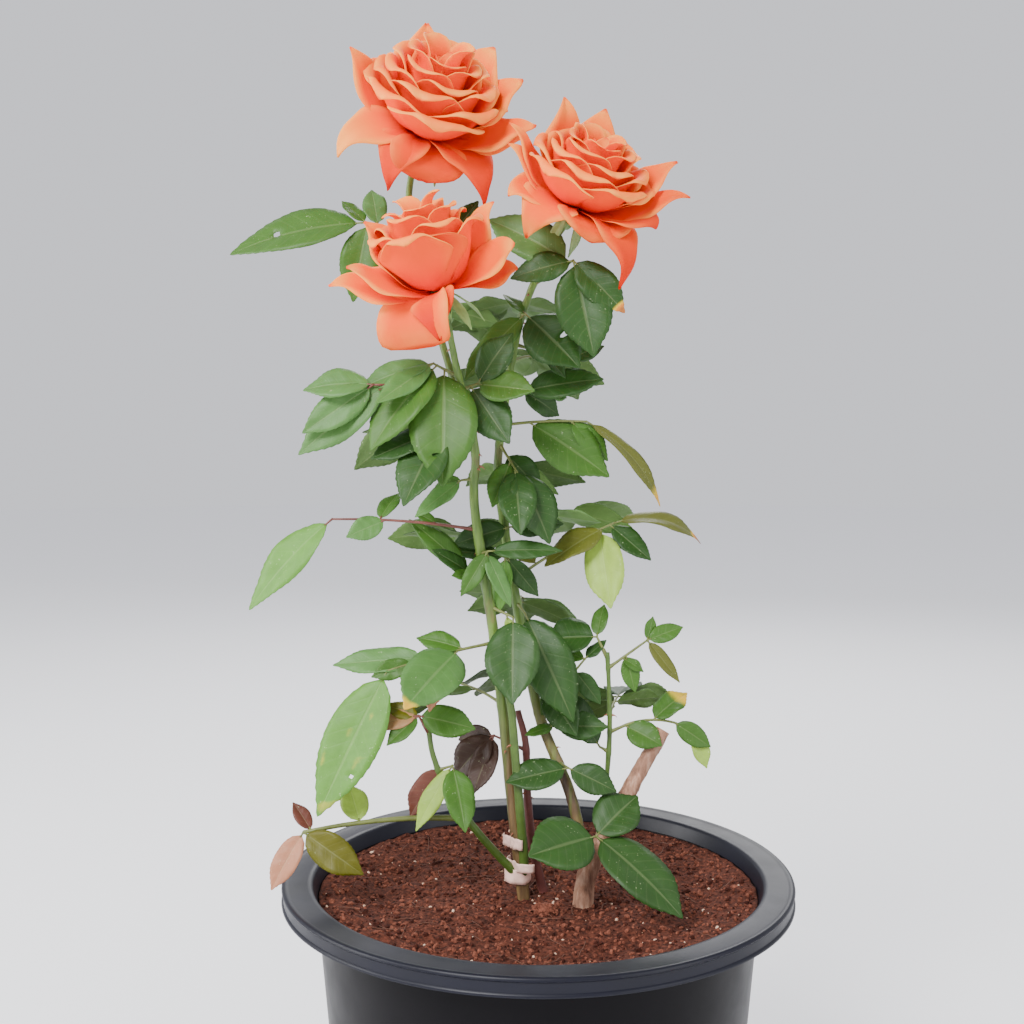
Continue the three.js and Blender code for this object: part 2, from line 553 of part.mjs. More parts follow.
// the blade is flat above with a keel below, and starts inside the stalk
function bladeSolid(root, rows, thickness, spare = 0) {
  const rings = rows.map((row, i) => {
    const p = i ? row.p : root;
    const deep = (i ? thickness : thickness / 2) + spare;
    const half = Math.max(row.half, 0.45) + spare;
    return [
      p.clone().addScaledVector(row.across, half).addScaledVector(row.normal, row.half * fold + spare),
      p.clone().addScaledVector(row.normal, -deep),
      p.clone().addScaledVector(row.across, -half).addScaledVector(row.normal, row.half * fold + spare),
    ];
  });
  const tip = rows[rows.length - 1].p;
  rings[rings.length - 1] = [tip, tip, tip];
  return solidOf(loft(rings));
}

const taken = [];

function overlaps(a, b) {
  for (let i = 0; i < 3; i++) if (a.min[i] > b.max[i] || b.min[i] > a.max[i]) return false;
  return true;
}

function isFree(solid, owner) {
  const box = solid.boundingBox();
  return !taken.some((one) => one.owner !== owner && overlaps(box, one.box)
    && solid.intersect(one.solid).volume() > 1e-7);
}

function take(solid, owner) {
  taken.push({ solid, owner, box: solid.boundingBox() });
}

function growStalk([name, caneName, height, [turn, rise, length, bend]]) {
  const first = heading(turn, rise);
  const line = [seatOn(canes[caneName], height, () => first, twigRadius, 3)];
  const steps = length > 30 ? 4 : 2;
  for (let i = 0; i < steps; i++) {
    line.push(line[i].clone().addScaledVector(heading(turn, rise - bend * i / steps), length / steps));
  }
  const radii = line.map((p, i) => twigRadius - 0.3 * i / steps);
  return { name, line, solid: limb(line, radii, 3) };
}

function pointAlong(line, share) {
  const x = share * (line.length - 1), k = Math.min(Math.floor(x), line.length - 2);
  return line[k].clone().lerp(line[k + 1], x - k);
}

const turnTries = [0, 8, -8, 16, -16, 24, -24, 34, -34];

// a leaflet that would touch a neighbour is turned a little, and left out if that doesn't help
function growLeaflet(line, leaflet, facing, random, owner) {
  const tilt = random(-25, 25), chance = random(0, 25);
  const [along, turn, rise, length, breadth = bladeBreadth, droop = chance] = leaflet;
  const root = pointAlong(line, along);
  for (const share of [1, 0.8]) {
    for (const extra of turnTries) {
      const d = heading(turn + extra, rise);
      const g = heading(facing, 40);
      const face = g.addScaledVector(d, -g.dot(d)).normalize().applyAxisAngle(d, radians(tilt));
      const start = root.clone().addScaledVector(d, length * 0.06);
      const rows = bladeRows(start, d, face, length * share, breadth, droop, bladeStations);
      const sunk = root.clone().addScaledVector(d, -0.6);
      if (isFree(bladeSolid(sunk, rows, leafThickness, 0.3), owner)) {
        return bladeSolid(sunk, rows, leafThickness);
      }
    }
  }
  return null;
}

place('pot', makePot(), colours.pot, 0.45);
place('soil', makeSoil(), colours.soil, 0.95);
for (const [name, cane] of Object.entries(canes)) {
  const solid = growCane(cane);
  take(solid, name);
  place(name, solid, name === 'old_cane' ? colours.oldCane : colours.cane, 0.6);
}
for (const [name, bloom] of Object.entries(blooms)) {
  const solid = makeBloom(bloom);
  take(solid, name);
  place(name, solid, colours.petal, 0.55);
}
const pot = solidOf(lathe([[0, 0], [rimRadius + 0.5, 0], [rimRadius + 0.5, potHeight + 0.5],
  [rimMouthRadius - 1, potHeight + 0.5], [90, soilLevel + 3], [0, soilLevel + 3]], potSides));
take(pot, 'pot');

const stalks = sprays.map((spray) => growStalk(spray));
for (const { name, solid } of stalks) take(solid, name);
sprays.forEach(([name, , , , leaflets], i) => {
  const { line, solid } = stalks[i];
  const random = seeded(1000 + i);
  const pieces = [solid];
  for (const leaflet of leaflets.filter((one) => one[3] >= leastLeaflet)) {
    const blade = growLeaflet(line, leaflet, name.startsWith('back') ? 90 : 270, random, name);
    if (blade) {
      take(blade, name);
      pieces.push(blade);
    }
  }
  place(`leaves_${name}`, fuse(pieces), colours.leaf, 0.55);
});

export default group;
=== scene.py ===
import bpy, bmesh, math
import numpy as np
from mathutils import Vector, Matrix, noise


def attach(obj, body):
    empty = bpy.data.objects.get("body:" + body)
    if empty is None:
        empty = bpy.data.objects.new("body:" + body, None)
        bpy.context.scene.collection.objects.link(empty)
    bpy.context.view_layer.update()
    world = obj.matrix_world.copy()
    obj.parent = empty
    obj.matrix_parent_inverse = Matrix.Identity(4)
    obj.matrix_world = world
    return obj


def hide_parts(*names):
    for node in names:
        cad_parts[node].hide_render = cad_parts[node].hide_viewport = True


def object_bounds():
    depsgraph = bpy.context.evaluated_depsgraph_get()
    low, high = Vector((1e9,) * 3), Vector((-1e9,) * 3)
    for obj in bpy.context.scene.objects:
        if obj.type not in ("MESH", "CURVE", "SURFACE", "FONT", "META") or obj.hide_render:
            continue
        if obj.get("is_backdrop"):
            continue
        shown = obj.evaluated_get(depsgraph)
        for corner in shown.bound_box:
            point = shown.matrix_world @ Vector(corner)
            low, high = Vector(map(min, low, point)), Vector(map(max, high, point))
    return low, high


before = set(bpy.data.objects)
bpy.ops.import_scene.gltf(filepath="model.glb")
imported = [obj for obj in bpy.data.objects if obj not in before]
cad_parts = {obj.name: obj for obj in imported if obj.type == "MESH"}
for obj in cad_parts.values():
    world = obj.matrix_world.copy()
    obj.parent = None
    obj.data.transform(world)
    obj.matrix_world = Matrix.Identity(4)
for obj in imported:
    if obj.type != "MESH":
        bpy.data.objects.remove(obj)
cadLow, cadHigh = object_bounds()
scene = bpy.context.scene

# lengths are in millimetres until a mesh is made
mm = 0.001
up = Vector((0, 0, 1))


def seeded(seed):
    state = [seed]

    def pick(low, high):
        state[0] = (state[0] * 1664525 + 1013904223) % 4294967296
        return low + (high - low) * state[0] / 4294967296

    return pick


def heading(turn, rise):
    a, b = math.radians(turn), math.radians(rise)
    return Vector((math.cos(a) * math.cos(b), math.sin(a) * math.cos(b), math.sin(b)))


def ease(x):
    t = min(max(x, 0), 1)
    return t * t * (3 - 2 * t)


def linear(r, g, b):
    return tuple(((c / 255 + 0.055) / 1.055) ** 2.4 if c > 10 else c / 255 / 12.92 for c in (r, g, b)) + (1,)


# a part collects points and faces, and becomes one mesh in the end; tone is a leaf's or petal's brightness,
# and the dry value says how withered a leaf is, and on a petal it holds a cast of painted light: redder above
# nought for painted shade, paler below it for painted highlight
def newPart():
    return {"points": [], "faces": [], "uv": [], "tone": [], "dry_and_painted_light": [], "slot": [], "count": 0}


def addPoints(part, points, uv, tone, dry_and_painted_light):
    first = part["count"]
    part["points"].append(np.asarray(points, float).reshape(-1, 3))
    part["uv"].append(np.asarray(uv, float).reshape(-1, 2))
    size = len(part["points"][-1])
    part["tone"].append(np.full(size, float(tone)))
    part["dry_and_painted_light"].append(np.broadcast_to(np.asarray(dry_and_painted_light, float).ravel(), (size,)))
    part["count"] += size
    return first


# rows run along the piece and columns across it; skip leaves a few squares out
def addGrid(part, grid, tone=0.5, dry_and_painted_light=0.0, slot=0, skip=()):
    rows, cols = grid.shape[:2]
    v, u = np.meshgrid(np.linspace(0, 1, rows), np.linspace(0, 1, cols), indexing="ij")
    first = addPoints(part, grid, np.stack([u, v], -1), tone, dry_and_painted_light)
    for i in range(rows - 1):
        for j in range(cols - 1):
            if (i, j) in skip:
                continue
            a = first + i * cols + j
            part["faces"].append((a, a + 1, a + cols + 1, a + cols))
            part["slot"].append(slot)


def addTube(part, line, radii, sides, slot=0, relief=None, capSlot=None):
    side = None
    points = []
    for i, p in enumerate(line):
        along = (line[min(i + 1, len(line) - 1)] - line[max(i - 1, 0)]).normalized()
        if side is None:
            side = Vector((1, 0, 0)) if abs(along.x) < 0.8 else Vector((0, 1, 0))
        side = (side - along * side.dot(along)).normalized()
        other = along.cross(side)
        for j in range(sides):
            a = j / sides * math.tau
            out = side * math.cos(a) + other * math.sin(a)
            r = radii[i] + (relief(p + out * radii[i]) if relief else 0)
            points.append(list(p + out * r))
    v, u = np.meshgrid(np.linspace(0, 1, len(line)), np.arange(sides) / sides, indexing="ij")
    first = addPoints(part, points, np.stack([u, v], -1), 0.5, 0.0)
    for i in range(len(line) - 1):
        for j in range(sides):
            a, b = first + i * sides + j, first + i * sides + (j + 1) % sides
            part["faces"].append((a, b, b + sides, a + sides))
            part["slot"].append(slot)
    last = first + (len(line) - 1) * sides
    part["faces"].append(tuple(first + j for j in reversed(range(sides))))
    part["faces"].append(tuple(last + j for j in range(sides)))
    part["slot"] += [slot, slot if capSlot is None else capSlot]


def placed(name, data):
    made = bpy.data.objects.new(name, data)
    scene.collection.objects.link(made)
    return made


def finishPart(name, part, materials, smooth=True):
    mesh = bpy.data.meshes.new(name)
    points = np.concatenate(part["points"]) * mm
    mesh.from_pydata(points.tolist(), [], part["faces"])
    mesh.update()
    corners = np.empty(len(mesh.loops), np.int32)
    mesh.loops.foreach_get("vertex_index", corners)
    layer = mesh.uv_layers.new(name="UVMap")
    layer.data.foreach_set("uv", np.concatenate(part["uv"])[corners].ravel().astype(np.float32))
    for key in ("tone", "dry_and_painted_light"):
        values = mesh.attributes.new(key, "FLOAT", "POINT")
        values.data.foreach_set("value", np.concatenate(part[key]).astype(np.float32))
    mesh.polygons.foreach_set("material_index", np.array(part["slot"], np.int32))
    for one in materials:
        mesh.materials.append(one)
    if smooth:
        mesh.shade_smooth()
    return placed(name, mesh)


def meshFrom(name, shape, materials):
    mesh = bpy.data.meshes.new(name)
    bmesh.ops.scale(shape, vec=(mm, mm, mm), verts=shape.verts)
    shape.to_mesh(mesh)
    shape.free()
    for one in materials:
        mesh.materials.append(one)
    return placed(name, mesh)


# thin sheets get their wall last
thickness = {"leaf": 0.3, "petal": 0.35, "sepal": 0.4, "tape": 0.25}


def addWall(made, kind, offset=-1):
    wall = made.modifiers.new("wall", "SOLIDIFY")
    wall.thickness = thickness[kind] * mm
    wall.offset = offset
    wall.use_even_offset = False
    wall.material_offset = 1
    wall.material_offset_rim = 0


# materials
def newMaterial(name, **sockets):
    made = bpy.data.materials.new(name)
    made.use_nodes = True
    shader = made.node_tree.nodes["Principled BSDF"]
    for key, value in sockets.items():
        shader.inputs[key.replace("_", " ")].default_value = value
    return made


def node(tree, kind, inputs=None, **settings):
    one = tree.nodes.new("ShaderNode" + kind)
    for key, value in settings.items():
        setattr(one, key, value)
    for key, value in (inputs or {}).items():
        if isinstance(value, bpy.types.NodeSocket):
            tree.links.new(value, one.inputs[key])
        else:
            one.inputs[key].default_value = value
    return one


# these work on the output of a node, and put the next node in the same tree
def into(socket, value):
    value.id_data.links.new(value, value.id_data.nodes["Principled BSDF"].inputs[socket])


def calc(operation, value, *others):
    return node(value.id_data, "Math", dict(enumerate((value, *others))), operation=operation).outputs[0]


def times(value, other):
    return calc("MULTIPLY", value, other)


def mixed(factor, a, b):
    return node(factor.id_data, "Mix", {0: factor, 6: a, 7: b}, data_type="RGBA").outputs[2]


def between(value, low, high, first=0.0, last=1.0):
    inputs = {0: value, 1: low, 2: high, 3: first, 4: last}
    return node(value.id_data, "MapRange", inputs, interpolation_type="SMOOTHSTEP").outputs[0]


def brightened(level, colour):
    return node(level.id_data, "HueSaturation", {"Value": level, "Color": colour}).outputs[0]


def ramp(value, stops):
    one = node(value.id_data, "ValToRGB", {0: value})
    while len(one.color_ramp.elements) < len(stops):
        one.color_ramp.elements.new(0.5)
    for element, (place, colour) in zip(one.color_ramp.elements, stops):
        element.position, element.color = place, colour
    return one.outputs[0]


def bumped(height, strength, distance):
    inputs = {"Height": height, "Strength": strength, "Distance": distance * mm}
    into("Normal", node(height.id_data, "Bump", inputs).outputs[0])


# and these start from a material
def noiseOn(made, scale, detail=3.0, roughness=0.55, stretch=None):
    where = node(made.node_tree, "TexCoord").outputs["Object"]
    if stretch:
        where = node(made.node_tree, "Mapping", {0: where, 3: stretch}).outputs[0]
    inputs = {0: where, "Scale": scale, "Detail": detail, "Roughness": roughness}
    return node(made.node_tree, "TexNoise", inputs).outputs[0]


def attribute(made, key):
    return node(made.node_tree, "Attribute", attribute_name=key).outputs["Fac"]


def ownMap(made):
    return node(made.node_tree, "UVMap", uv_map="UVMap").outputs[0]


# how far out from the middle line of its leaf or petal a point is, from 0 to 1, and how far along
def mapPlace(made):
    place = node(made.node_tree, "SeparateXYZ", {0: ownMap(made)}).outputs
    return times(calc("ABSOLUTE", calc("SUBTRACT", place[0], 0.5)), 2.0), place[1]


def potMaterial(name, shine, dark, pale):
    made = newMaterial(name, Specular_IOR_Level=shine)
    into("Base Color", ramp(noiseOn(made, 22, 5), [(0.3, dark), (0.7, pale)]))
    into("Roughness", between(noiseOn(made, 60, 4), 0.35, 0.7, 0.37, 0.42))
    bumped(noiseOn(made, 900, 2), 0.12, 0.1)
    return made


def soilMaterial(name, dark, light):
    made = newMaterial(name, Roughness=0.95, Specular_IOR_Level=0.15)
    grains = noiseOn(made, 520, 5, 0.65)
    into("Base Color", ramp(grains, [(0.32, dark), (0.68, light)]))
    bumped(grains, 0.8, 0.6)
    return made


# green bark that is browner near the soil
def caneMaterial():
    made = newMaterial("green bark", Roughness=0.5)
    where = node(made.node_tree, "TexCoord").outputs["Object"]
    height = node(made.node_tree, "SeparateXYZ", {0: where}).outputs[2]
    streaks = noiseOn(made, 260, 3, 0.6, (1, 1, 0.12))
    green = ramp(streaks, [(0.3, linear(52, 80, 20)), (0.72, linear(108, 138, 52))])
    brown = ramp(streaks, [(0.3, linear(66, 46, 28)), (0.72, linear(120, 96, 58))])
    # heights here are in metres
    low = between(calc("MULTIPLY_ADD", noiseOn(made, 40, 3), 0.05, height), 0.275, 0.345, 1, 0)
    share = times(low, between(noiseOn(made, 150, 2, 0.5, (1, 1, 0.05)), 0.42, 0.52, 0.55, 1))
    blotch = between(noiseOn(made, 70, 4, 0.6, (1, 1, 0.4)), 0.56, 0.66, 0, 0.55)
    into("Base Color", mixed(calc("MAXIMUM", share, blotch), green, brown))
    bumped(streaks, 0.3, 0.3)
    return made


def barkMaterial():
    made = newMaterial("old bark", Roughness=0.8)
    streaks = noiseOn(made, 300, 5, 0.65, (1, 1, 0.25))
    colour = ramp(streaks, [(0.28, linear(98, 66, 50)), (0.5, linear(158, 116, 92)),
                            (0.75, linear(204, 172, 148))])
    cloud = between(noiseOn(made, 90, 3), 0.4, 0.65, 0, 0.45)
    into("Base Color", mixed(cloud, colour, linear(96, 62, 48)))
    bumped(streaks, 0.7, 0.5)
    return made


def plainMaterial(name, colour, roughness, grain):
    made = newMaterial(name, Roughness=roughness)
    spots = noiseOn(made, grain, 3)
    darker = tuple(c * 0.72 for c in colour[:3]) + (1,)
    into("Base Color", ramp(spots, [(0.35, darker), (0.65, colour)]))
    bumped(spots, 0.25, 0.2)
    return made


# a leaf's middle vein and side veins follow its own map, and dry parts turn yellow, then brown
def leafMaterial(name, colour, under=False):
    made = newMaterial(name, Roughness=0.62 if under else 0.48, Specular_IOR_Level=0.2 if under else 0.28)
    if under:
        colour = tuple(0.6 * c + 0.4 * p for c, p in zip(colour, linear(116, 144, 84)))
    across, along = mapPlace(made)
    middle = between(across, 0.02, 0.08, 0.85, 0)
    wave = calc("SUBTRACT", times(along, 9.0), times(across, 1.5))
    side = between(calc("PINGPONG", wave, 0.5), 0.0, 0.12, 0.2, 0)
    veins = calc("MAXIMUM", middle, side)
    mottle = noiseOn(made, 170, 4, 0.6)
    spots = times(between(noiseOn(made, 900, 1), 0.7, 0.75), between(noiseOn(made, 70), 0.45, 0.6))
    level = calc("MULTIPLY_ADD", attribute(made, "tone"), 0.5, 0.5)
    shade = brightened(calc("MULTIPLY_ADD", mottle, 0.5, level), colour)
    vein = tuple(min(1, 0.7 * c + 0.3 * v) for c, v in zip(colour, linear(196, 205, 150)))
    shade = mixed(times(veins, 0.29), shade, vein)
    shade = mixed(times(spots, 0.35), shade, linear(180, 194, 150))
    withered = calc("ADD", attribute(made, "dry_and_painted_light"), calc("MULTIPLY_ADD", mottle, 0.24, -0.12))
    parched = ramp(withered, [(0.35, linear(206, 176, 40)), (0.62, linear(196, 118, 34)),
                              (0.95, linear(112, 66, 40))])
    into("Base Color", mixed(between(withered, 0.15, 0.5), shade, parched))
    bumped(calc("MULTIPLY_ADD", veins, 0.6 if under else -0.8, mottle), 0.5, 0.35)
    return made


# coral petals with pale margins, a deeper colour at the foot as painted shade down in the folds, and deeper
# colour at the tip
def petalMaterial(name, body, deep, pale, margin):
    made = newMaterial(name, Roughness=0.6, Specular_IOR_Level=0.08, Subsurface_Weight=0.12,
                       Subsurface_Radius=(1.0, 0.35, 0.2), Subsurface_Scale=0.002)
    across, along = mapPlace(made)
    side = times(between(across, 0.55, 1.0), between(along, 0.15, 0.5))
    rim = calc("MAXIMUM", side, between(along, 0.7, 1.0))
    rim = times(rim, between(noiseOn(made, 90, 3), 0.3, 0.7, 0.55, 1.0))
    # painted shade: the lower part of each petal, down in the folds of the bloom, takes the deep colour
    colour = mixed(between(along, 0.05, 0.62, 1, 0), body, deep)
    colour = mixed(times(rim, margin), colour, pale)
    colour = mixed(between(along, 0.94, 1.0, 0, 0.7), colour, deep)
    # a petal's cast of painted light: redder above nought as painted shade, paler below it as painted
    # highlight, and in a bloom's heart paler partly for its inner petals' own colour
    cast = attribute(made, "dry_and_painted_light")
    colour = mixed(between(cast, 0.0, 1.0), colour, linear(208, 34, 0))
    colour = mixed(between(cast, -1.0, 0.0, 1, 0), colour, pale)
    level = calc("MULTIPLY_ADD", attribute(made, "tone"), 0.26, 0.87)
    into("Base Color", brightened(level, colour))
    where = node(made.node_tree, "Mapping", {0: ownMap(made), 3: (26, 2.2, 1)}).outputs[0]
    streaks = node(made.node_tree, "TexNoise", {0: where, "Scale": 1.0, "Detail": 2.0}).outputs[0]
    bumped(streaks, 0.22, 0.5)
    return made


print("materials")
# painted shade and painted reflection: one pot plastic in two copies, the side one with little shine so that
# the wall stays dark as if shaded, the rim one shinier and tinted blue as a painted reflection
potSidePaintedShade = potMaterial("pot side painted shade", 0.07, linear(8, 7, 9), linear(13, 11, 14))
potRimPaintedReflection = potMaterial("pot rim painted reflection", 0.25, linear(8, 9, 20), linear(12, 13, 27))
soilBody = soilMaterial("coco soil", linear(24, 8, 4), linear(100, 54, 40))
crumbDark = soilMaterial("dark crumbs", linear(24, 8, 5), linear(74, 36, 26))
crumbRed = soilMaterial("red crumbs", linear(70, 34, 24), linear(136, 82, 64))
cocoFibre = plainMaterial("coco fibres", linear(92, 54, 36), 0.7, 300)
crumbPale = soilMaterial("pale specks", linear(176, 132, 104), linear(226, 200, 178))
greenBark = caneMaterial()
oldBark = barkMaterial()
cutWood = plainMaterial("cut wood", linear(196, 168, 138), 0.8, 700)
prickleSkin = plainMaterial("prickles", linear(150, 92, 66), 0.5, 200)
stalkSkin = plainMaterial("leaf stalks", linear(104, 112, 52), 0.5, 160)
redStalk = plainMaterial("red stalks", linear(110, 58, 48), 0.5, 160)
graftTape = plainMaterial("graft tape", linear(242, 200, 184), 0.6, 250)
youngBark = plainMaterial("young bark", linear(72, 98, 30), 0.5, 200)
redBark = plainMaterial("red bark", linear(106, 54, 48), 0.55, 260)
hipSkin = plainMaterial("hips and sepals", linear(126, 158, 84), 0.5, 200)

leafColours = {
    "dark": linear(32, 64, 14), "deep": linear(36, 66, 20), "mid": linear(56, 92, 26),
    "grey": linear(74, 114, 54), "fresh": linear(82, 128, 46), "light": linear(134, 162, 62),
    "moss": linear(82, 86, 26), "olive": linear(80, 78, 0), "russet": linear(150, 112, 74),
    "pink": linear(164, 110, 82), "red": linear(86, 44, 32), "dead": linear(52, 30, 20),
}
leafMaterials = []
for name, colour in leafColours.items():
    leafMaterials += [leafMaterial("leaf " + name, colour), leafMaterial("under " + name, colour, True)]
leafSlots = {name: 2 * k for k, name in enumerate(leafColours)}

petalFace = petalMaterial("petal face", linear(255, 94, 2), linear(234, 26, 0), linear(255, 160, 66), 0.95)
petalBack = petalMaterial("petal back", linear(255, 74, 2), linear(234, 28, 2), linear(255, 126, 38), 0.5)

# pot: one wall turned about the axis, and a floor plate with drain holes
print("pot")
# below the rim the wall stands 3 mm wider than the solid's, because the photo's pot is that wide there
pot = {"height": 205, "foot": 94.4, "neck": 110.3, "neckHeight": 190, "wall": 2.3, "rim": 128, "mouth": 112.4,
       "skirt": 9, "lip": 2.6, "plate": 3.2, "holes": 6, "hole": 5, "ring": 66}


# a full turn of a profile, open or closed, about the pot's axis
def turnProfile(shape, profile, closed, steps):
    line = [shape.verts.new((r, 0, z)) for r, z in profile]
    ends = line[1:] + line[:1] if closed else line[1:]
    edges = [shape.edges.new(pair) for pair in zip(line, ends)]
    bmesh.ops.spin(shape, geom=line + edges, cent=(0, 0, 0), axis=(0, 0, 1), angle=math.tau, steps=steps,
                   use_merge=True)


def makePot():
    shape = bmesh.new()
    top, foot, neck, mouth, rim = (pot[key] for key in ("height", "foot", "neck", "mouth", "rim"))
    neckHeight, wall, skirt, lip = pot["neckHeight"], pot["wall"], top - pot["skirt"], top - pot["lip"]
    inner = wall + 0.2
    profile = [
        (foot - inner, 0), (foot - 1.5, 0), (foot - 0.4, 0.4), (foot, 1.5), (neck, neckHeight),
        (neck + 1.6, top - 7), (neck + 5, lip), (rim - wall, lip - 0.4), (rim - wall, skirt),
        (rim - 0.6, skirt), (rim - 0.1, skirt + 0.3), (rim, skirt + 0.9), (rim - 0.3, skirt + 1.5),
        (rim - 0.9, skirt + 2), (rim - 1.1, top - 2.6), (rim - 0.5, top - 2.2), (rim - 0.1, top - 1.5),
        (rim - 0.3, top - 0.7), (rim - 0.9, top - 0.1), (rim - 1.8, top), (rim - 2.8, top - 0.3),
        (rim - 3.8, top - 0.7), (mouth + 3, top - 0.2), (mouth + 1.4, top - 0.4), (mouth + 0.4, top - 1.1),
        (mouth - 0.1, top - 2), (neck - inner + 2.5, neckHeight + 7), (neck - inner + 0.4, neckHeight),
        (foot - inner, 3),
    ]
    turnProfile(shape, profile, True, 144)
    plate = []
    outer = bmesh.ops.create_circle(shape, segments=96, radius=foot - 1.6)["verts"]
    for i in range(pot["holes"]):
        a = (i + 0.5) / pot["holes"] * math.tau
        spot = Matrix.Translation((pot["ring"] * math.cos(a), pot["ring"] * math.sin(a), 0))
        plate += bmesh.ops.create_circle(shape, segments=20, radius=pot["hole"], matrix=spot)["verts"]
    loops = list({edge for vert in outer + plate for edge in vert.link_edges})
    flat = bmesh.ops.triangle_fill(shape, use_beauty=True, edges=loops, normal=(0, 0, 1))["geom"]
    faces = [one for one in flat if isinstance(one, bmesh.types.BMFace)]
    raised = bmesh.ops.extrude_face_region(shape, geom=faces, use_keep_orig=True)["geom"]
    lifted = [vert for vert in raised if isinstance(vert, bmesh.types.BMVert)]
    bmesh.ops.translate(shape, vec=(0, 0, pot["plate"]), verts=lifted)
    bmesh.ops.recalc_face_normals(shape, faces=shape.faces)
    # the rim takes the shinier blue-tinted copy with its painted reflection, and the wall below it takes the
    # copy with painted shade
    for face in shape.faces:
        face.smooth = True
        face.material_index = 1 if face.calc_center_median().z > skirt - 1 else 0
    made = meshFrom("potWall", shape, [potSidePaintedShade, potRimPaintedReflection])
    made.data.set_sharp_from_angle(angle=math.radians(40))
    return made


potPiece = makePot()
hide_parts("pot")

# soil: a turned body with a lumpy top, crumbs and coco fibres on it and one clod
print("soil")
soil = {"level": 193.7, "under": 3.4, "rings": 108, "lumps": 40, "crumbs": 4600, "crumbReach": 108,
        "clod": (4, -26), "clodSize": 6.4, "clodCrumbs": 70, "clodReach": 7, "fibres": 70, "fibreReach": 100,
        "slopes": [(46, 20, 0.6), (66, 18, 0.5), (80, 26, -4.2)]}  # first radius, width, drop
lumpChance = seeded(11)
# lumps round the foot of the bush: x, y, height, spread
soilLumps = []
for i in range(soil["lumps"]):
    reach, turn = lumpChance(50, 96), math.radians(lumpChance(0, 360))
    soilLumps.append((reach * math.cos(turn), reach * math.sin(turn), lumpChance(-1.8, 2), lumpChance(6, 13)))


def soilHeight(x, y):
    r = math.hypot(x, y)
    low = soil["level"]
    # the top sinks a little about the bush and rises towards the wall
    for first, width, drop in soil["slopes"]:
        low -= drop * ease((r - first) / width)
    share = ease((r - 40) / 14)
    for lumpX, lumpY, height, spread in soilLumps:
        low += share * height * math.exp(-((x - lumpX) ** 2 + (y - lumpY) ** 2) / spread / spread)
    p = Vector((x, y, 0))
    return (low + 1.3 * noise.noise(p / 11) + 0.9 * noise.noise(p / 4.2 + Vector((7, 0, 0)))
            + 0.55 * noise.noise(p / 1.9 + Vector((0, 5, 0))))


def makeSoil():
    shape = bmesh.new()
    inner = pot["wall"] + 0.8
    wallTop = pot["neck"] - 0.5
    profile = [(0, soil["under"]), (pot["foot"] - inner, soil["under"]),
               (pot["neck"] - inner, pot["neckHeight"] - 2)]
    profile += [(wallTop * (1 - i / soil["rings"]), soil["level"]) for i in range(soil["rings"] + 1)]
    turnProfile(shape, profile, False, 200)
    bmesh.ops.remove_doubles(shape, verts=shape.verts, dist=0.001)
    for vert in shape.verts:
        if vert.co.z > soil["level"] - 1:
            vert.co.z = soilHeight(vert.co.x, vert.co.y)
    bmesh.ops.recalc_face_normals(shape, faces=shape.faces)
    for face in shape.faces:
        face.smooth = True
    return meshFrom("soilBody", shape, [soilBody])


def makeCrumbs():
    random = seeded(29)
    seedShape = bmesh.new()
    bmesh.ops.create_icosphere(seedShape, subdivisions=1, radius=1)
    ball = np.array([v.co[:] for v in seedShape.verts])
    faces = [tuple(v.index for v in f.verts) for f in seedShape.faces]
    seedShape.free()
    part = newPart()

    def crumb(x, y, size, lift, slot):
        axis = Vector((random(-1, 1), random(-1, 1), random(-1, 1))).normalized()
        turn = np.array(Matrix.Rotation(random(0, math.tau), 3, axis))
        shape = ball * np.array([size, size * random(0.6, 0.9), size * random(0.45, 0.8)])
        shape = shape * np.array([1 + random(-0.18, 0.18) for _ in range(len(ball))])[:, None]
        shape = shape @ turn.T + np.array([x, y, soilHeight(x, y) + lift])
        first = addPoints(part, shape, np.zeros((len(ball), 2)), 0.5, 0)
        part["faces"] += [tuple(first + k for k in face) for face in faces]
        part["slot"] += [slot] * len(faces)

    for i in range(soil["crumbs"]):
        r, a = soil["crumbReach"] * math.sqrt(random(0, 1)), random(0, math.tau)
        chance = random(0, 1)
        size = 0.5 + 1.5 * random(0, 1) ** 3
        slot = 0 if chance < 0.36 else 1 if chance < 0.96 else 2
        crumb(r * math.cos(a), r * math.sin(a), size * (0.75 if slot == 2 else 1), 0.1 * size, slot)
    clodX, clodY = soil["clod"]
    crumb(clodX, clodY, soil["clodSize"], 1.4, 1)
    for i in range(soil["clodCrumbs"]):
        a = random(0, math.tau)
        r = soil["clodReach"] * math.sqrt(random(0, 1))
        size, lift = random(1, 1.8), 0.4 + (soil["clodReach"] - r) * random(0.2, 0.7)
        crumb(clodX + r * math.cos(a), clodY + r * math.sin(a), size, lift, 1)
    # coco fibres lie on the soil
    bends = 6
    for i in range(soil["fibres"]):
        r = soil["fibreReach"] * math.sqrt(random(0, 1))
        a, turn = random(0, math.tau), random(0, math.tau)
        length, bend, thick = random(5, 20), random(-0.5, 0.5), random(0.12, 0.2)
        line = []
        for step in range(bends + 1):
            along = (step / bends - 0.5) * length
            x = r * math.cos(a) + along * math.cos(turn + bend * along / length)
            y = r * math.sin(a) + along * math.sin(turn + bend * along / length)
            line.append(Vector((x, y, soilHeight(x, y) + 0.5 + 0.5 * math.sin(step / bends * math.pi))))
        addTube(part, line, [thick] * len(line), 5, 3)
    return finishPart("soilCrumbs", part, [crumbDark, crumbRed, crumbPale, cocoFibre], smooth=False)


soilPiece = makeSoil()
crumbs = makeCrumbs()
for one in (soilPiece, crumbs):
    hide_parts("soil")

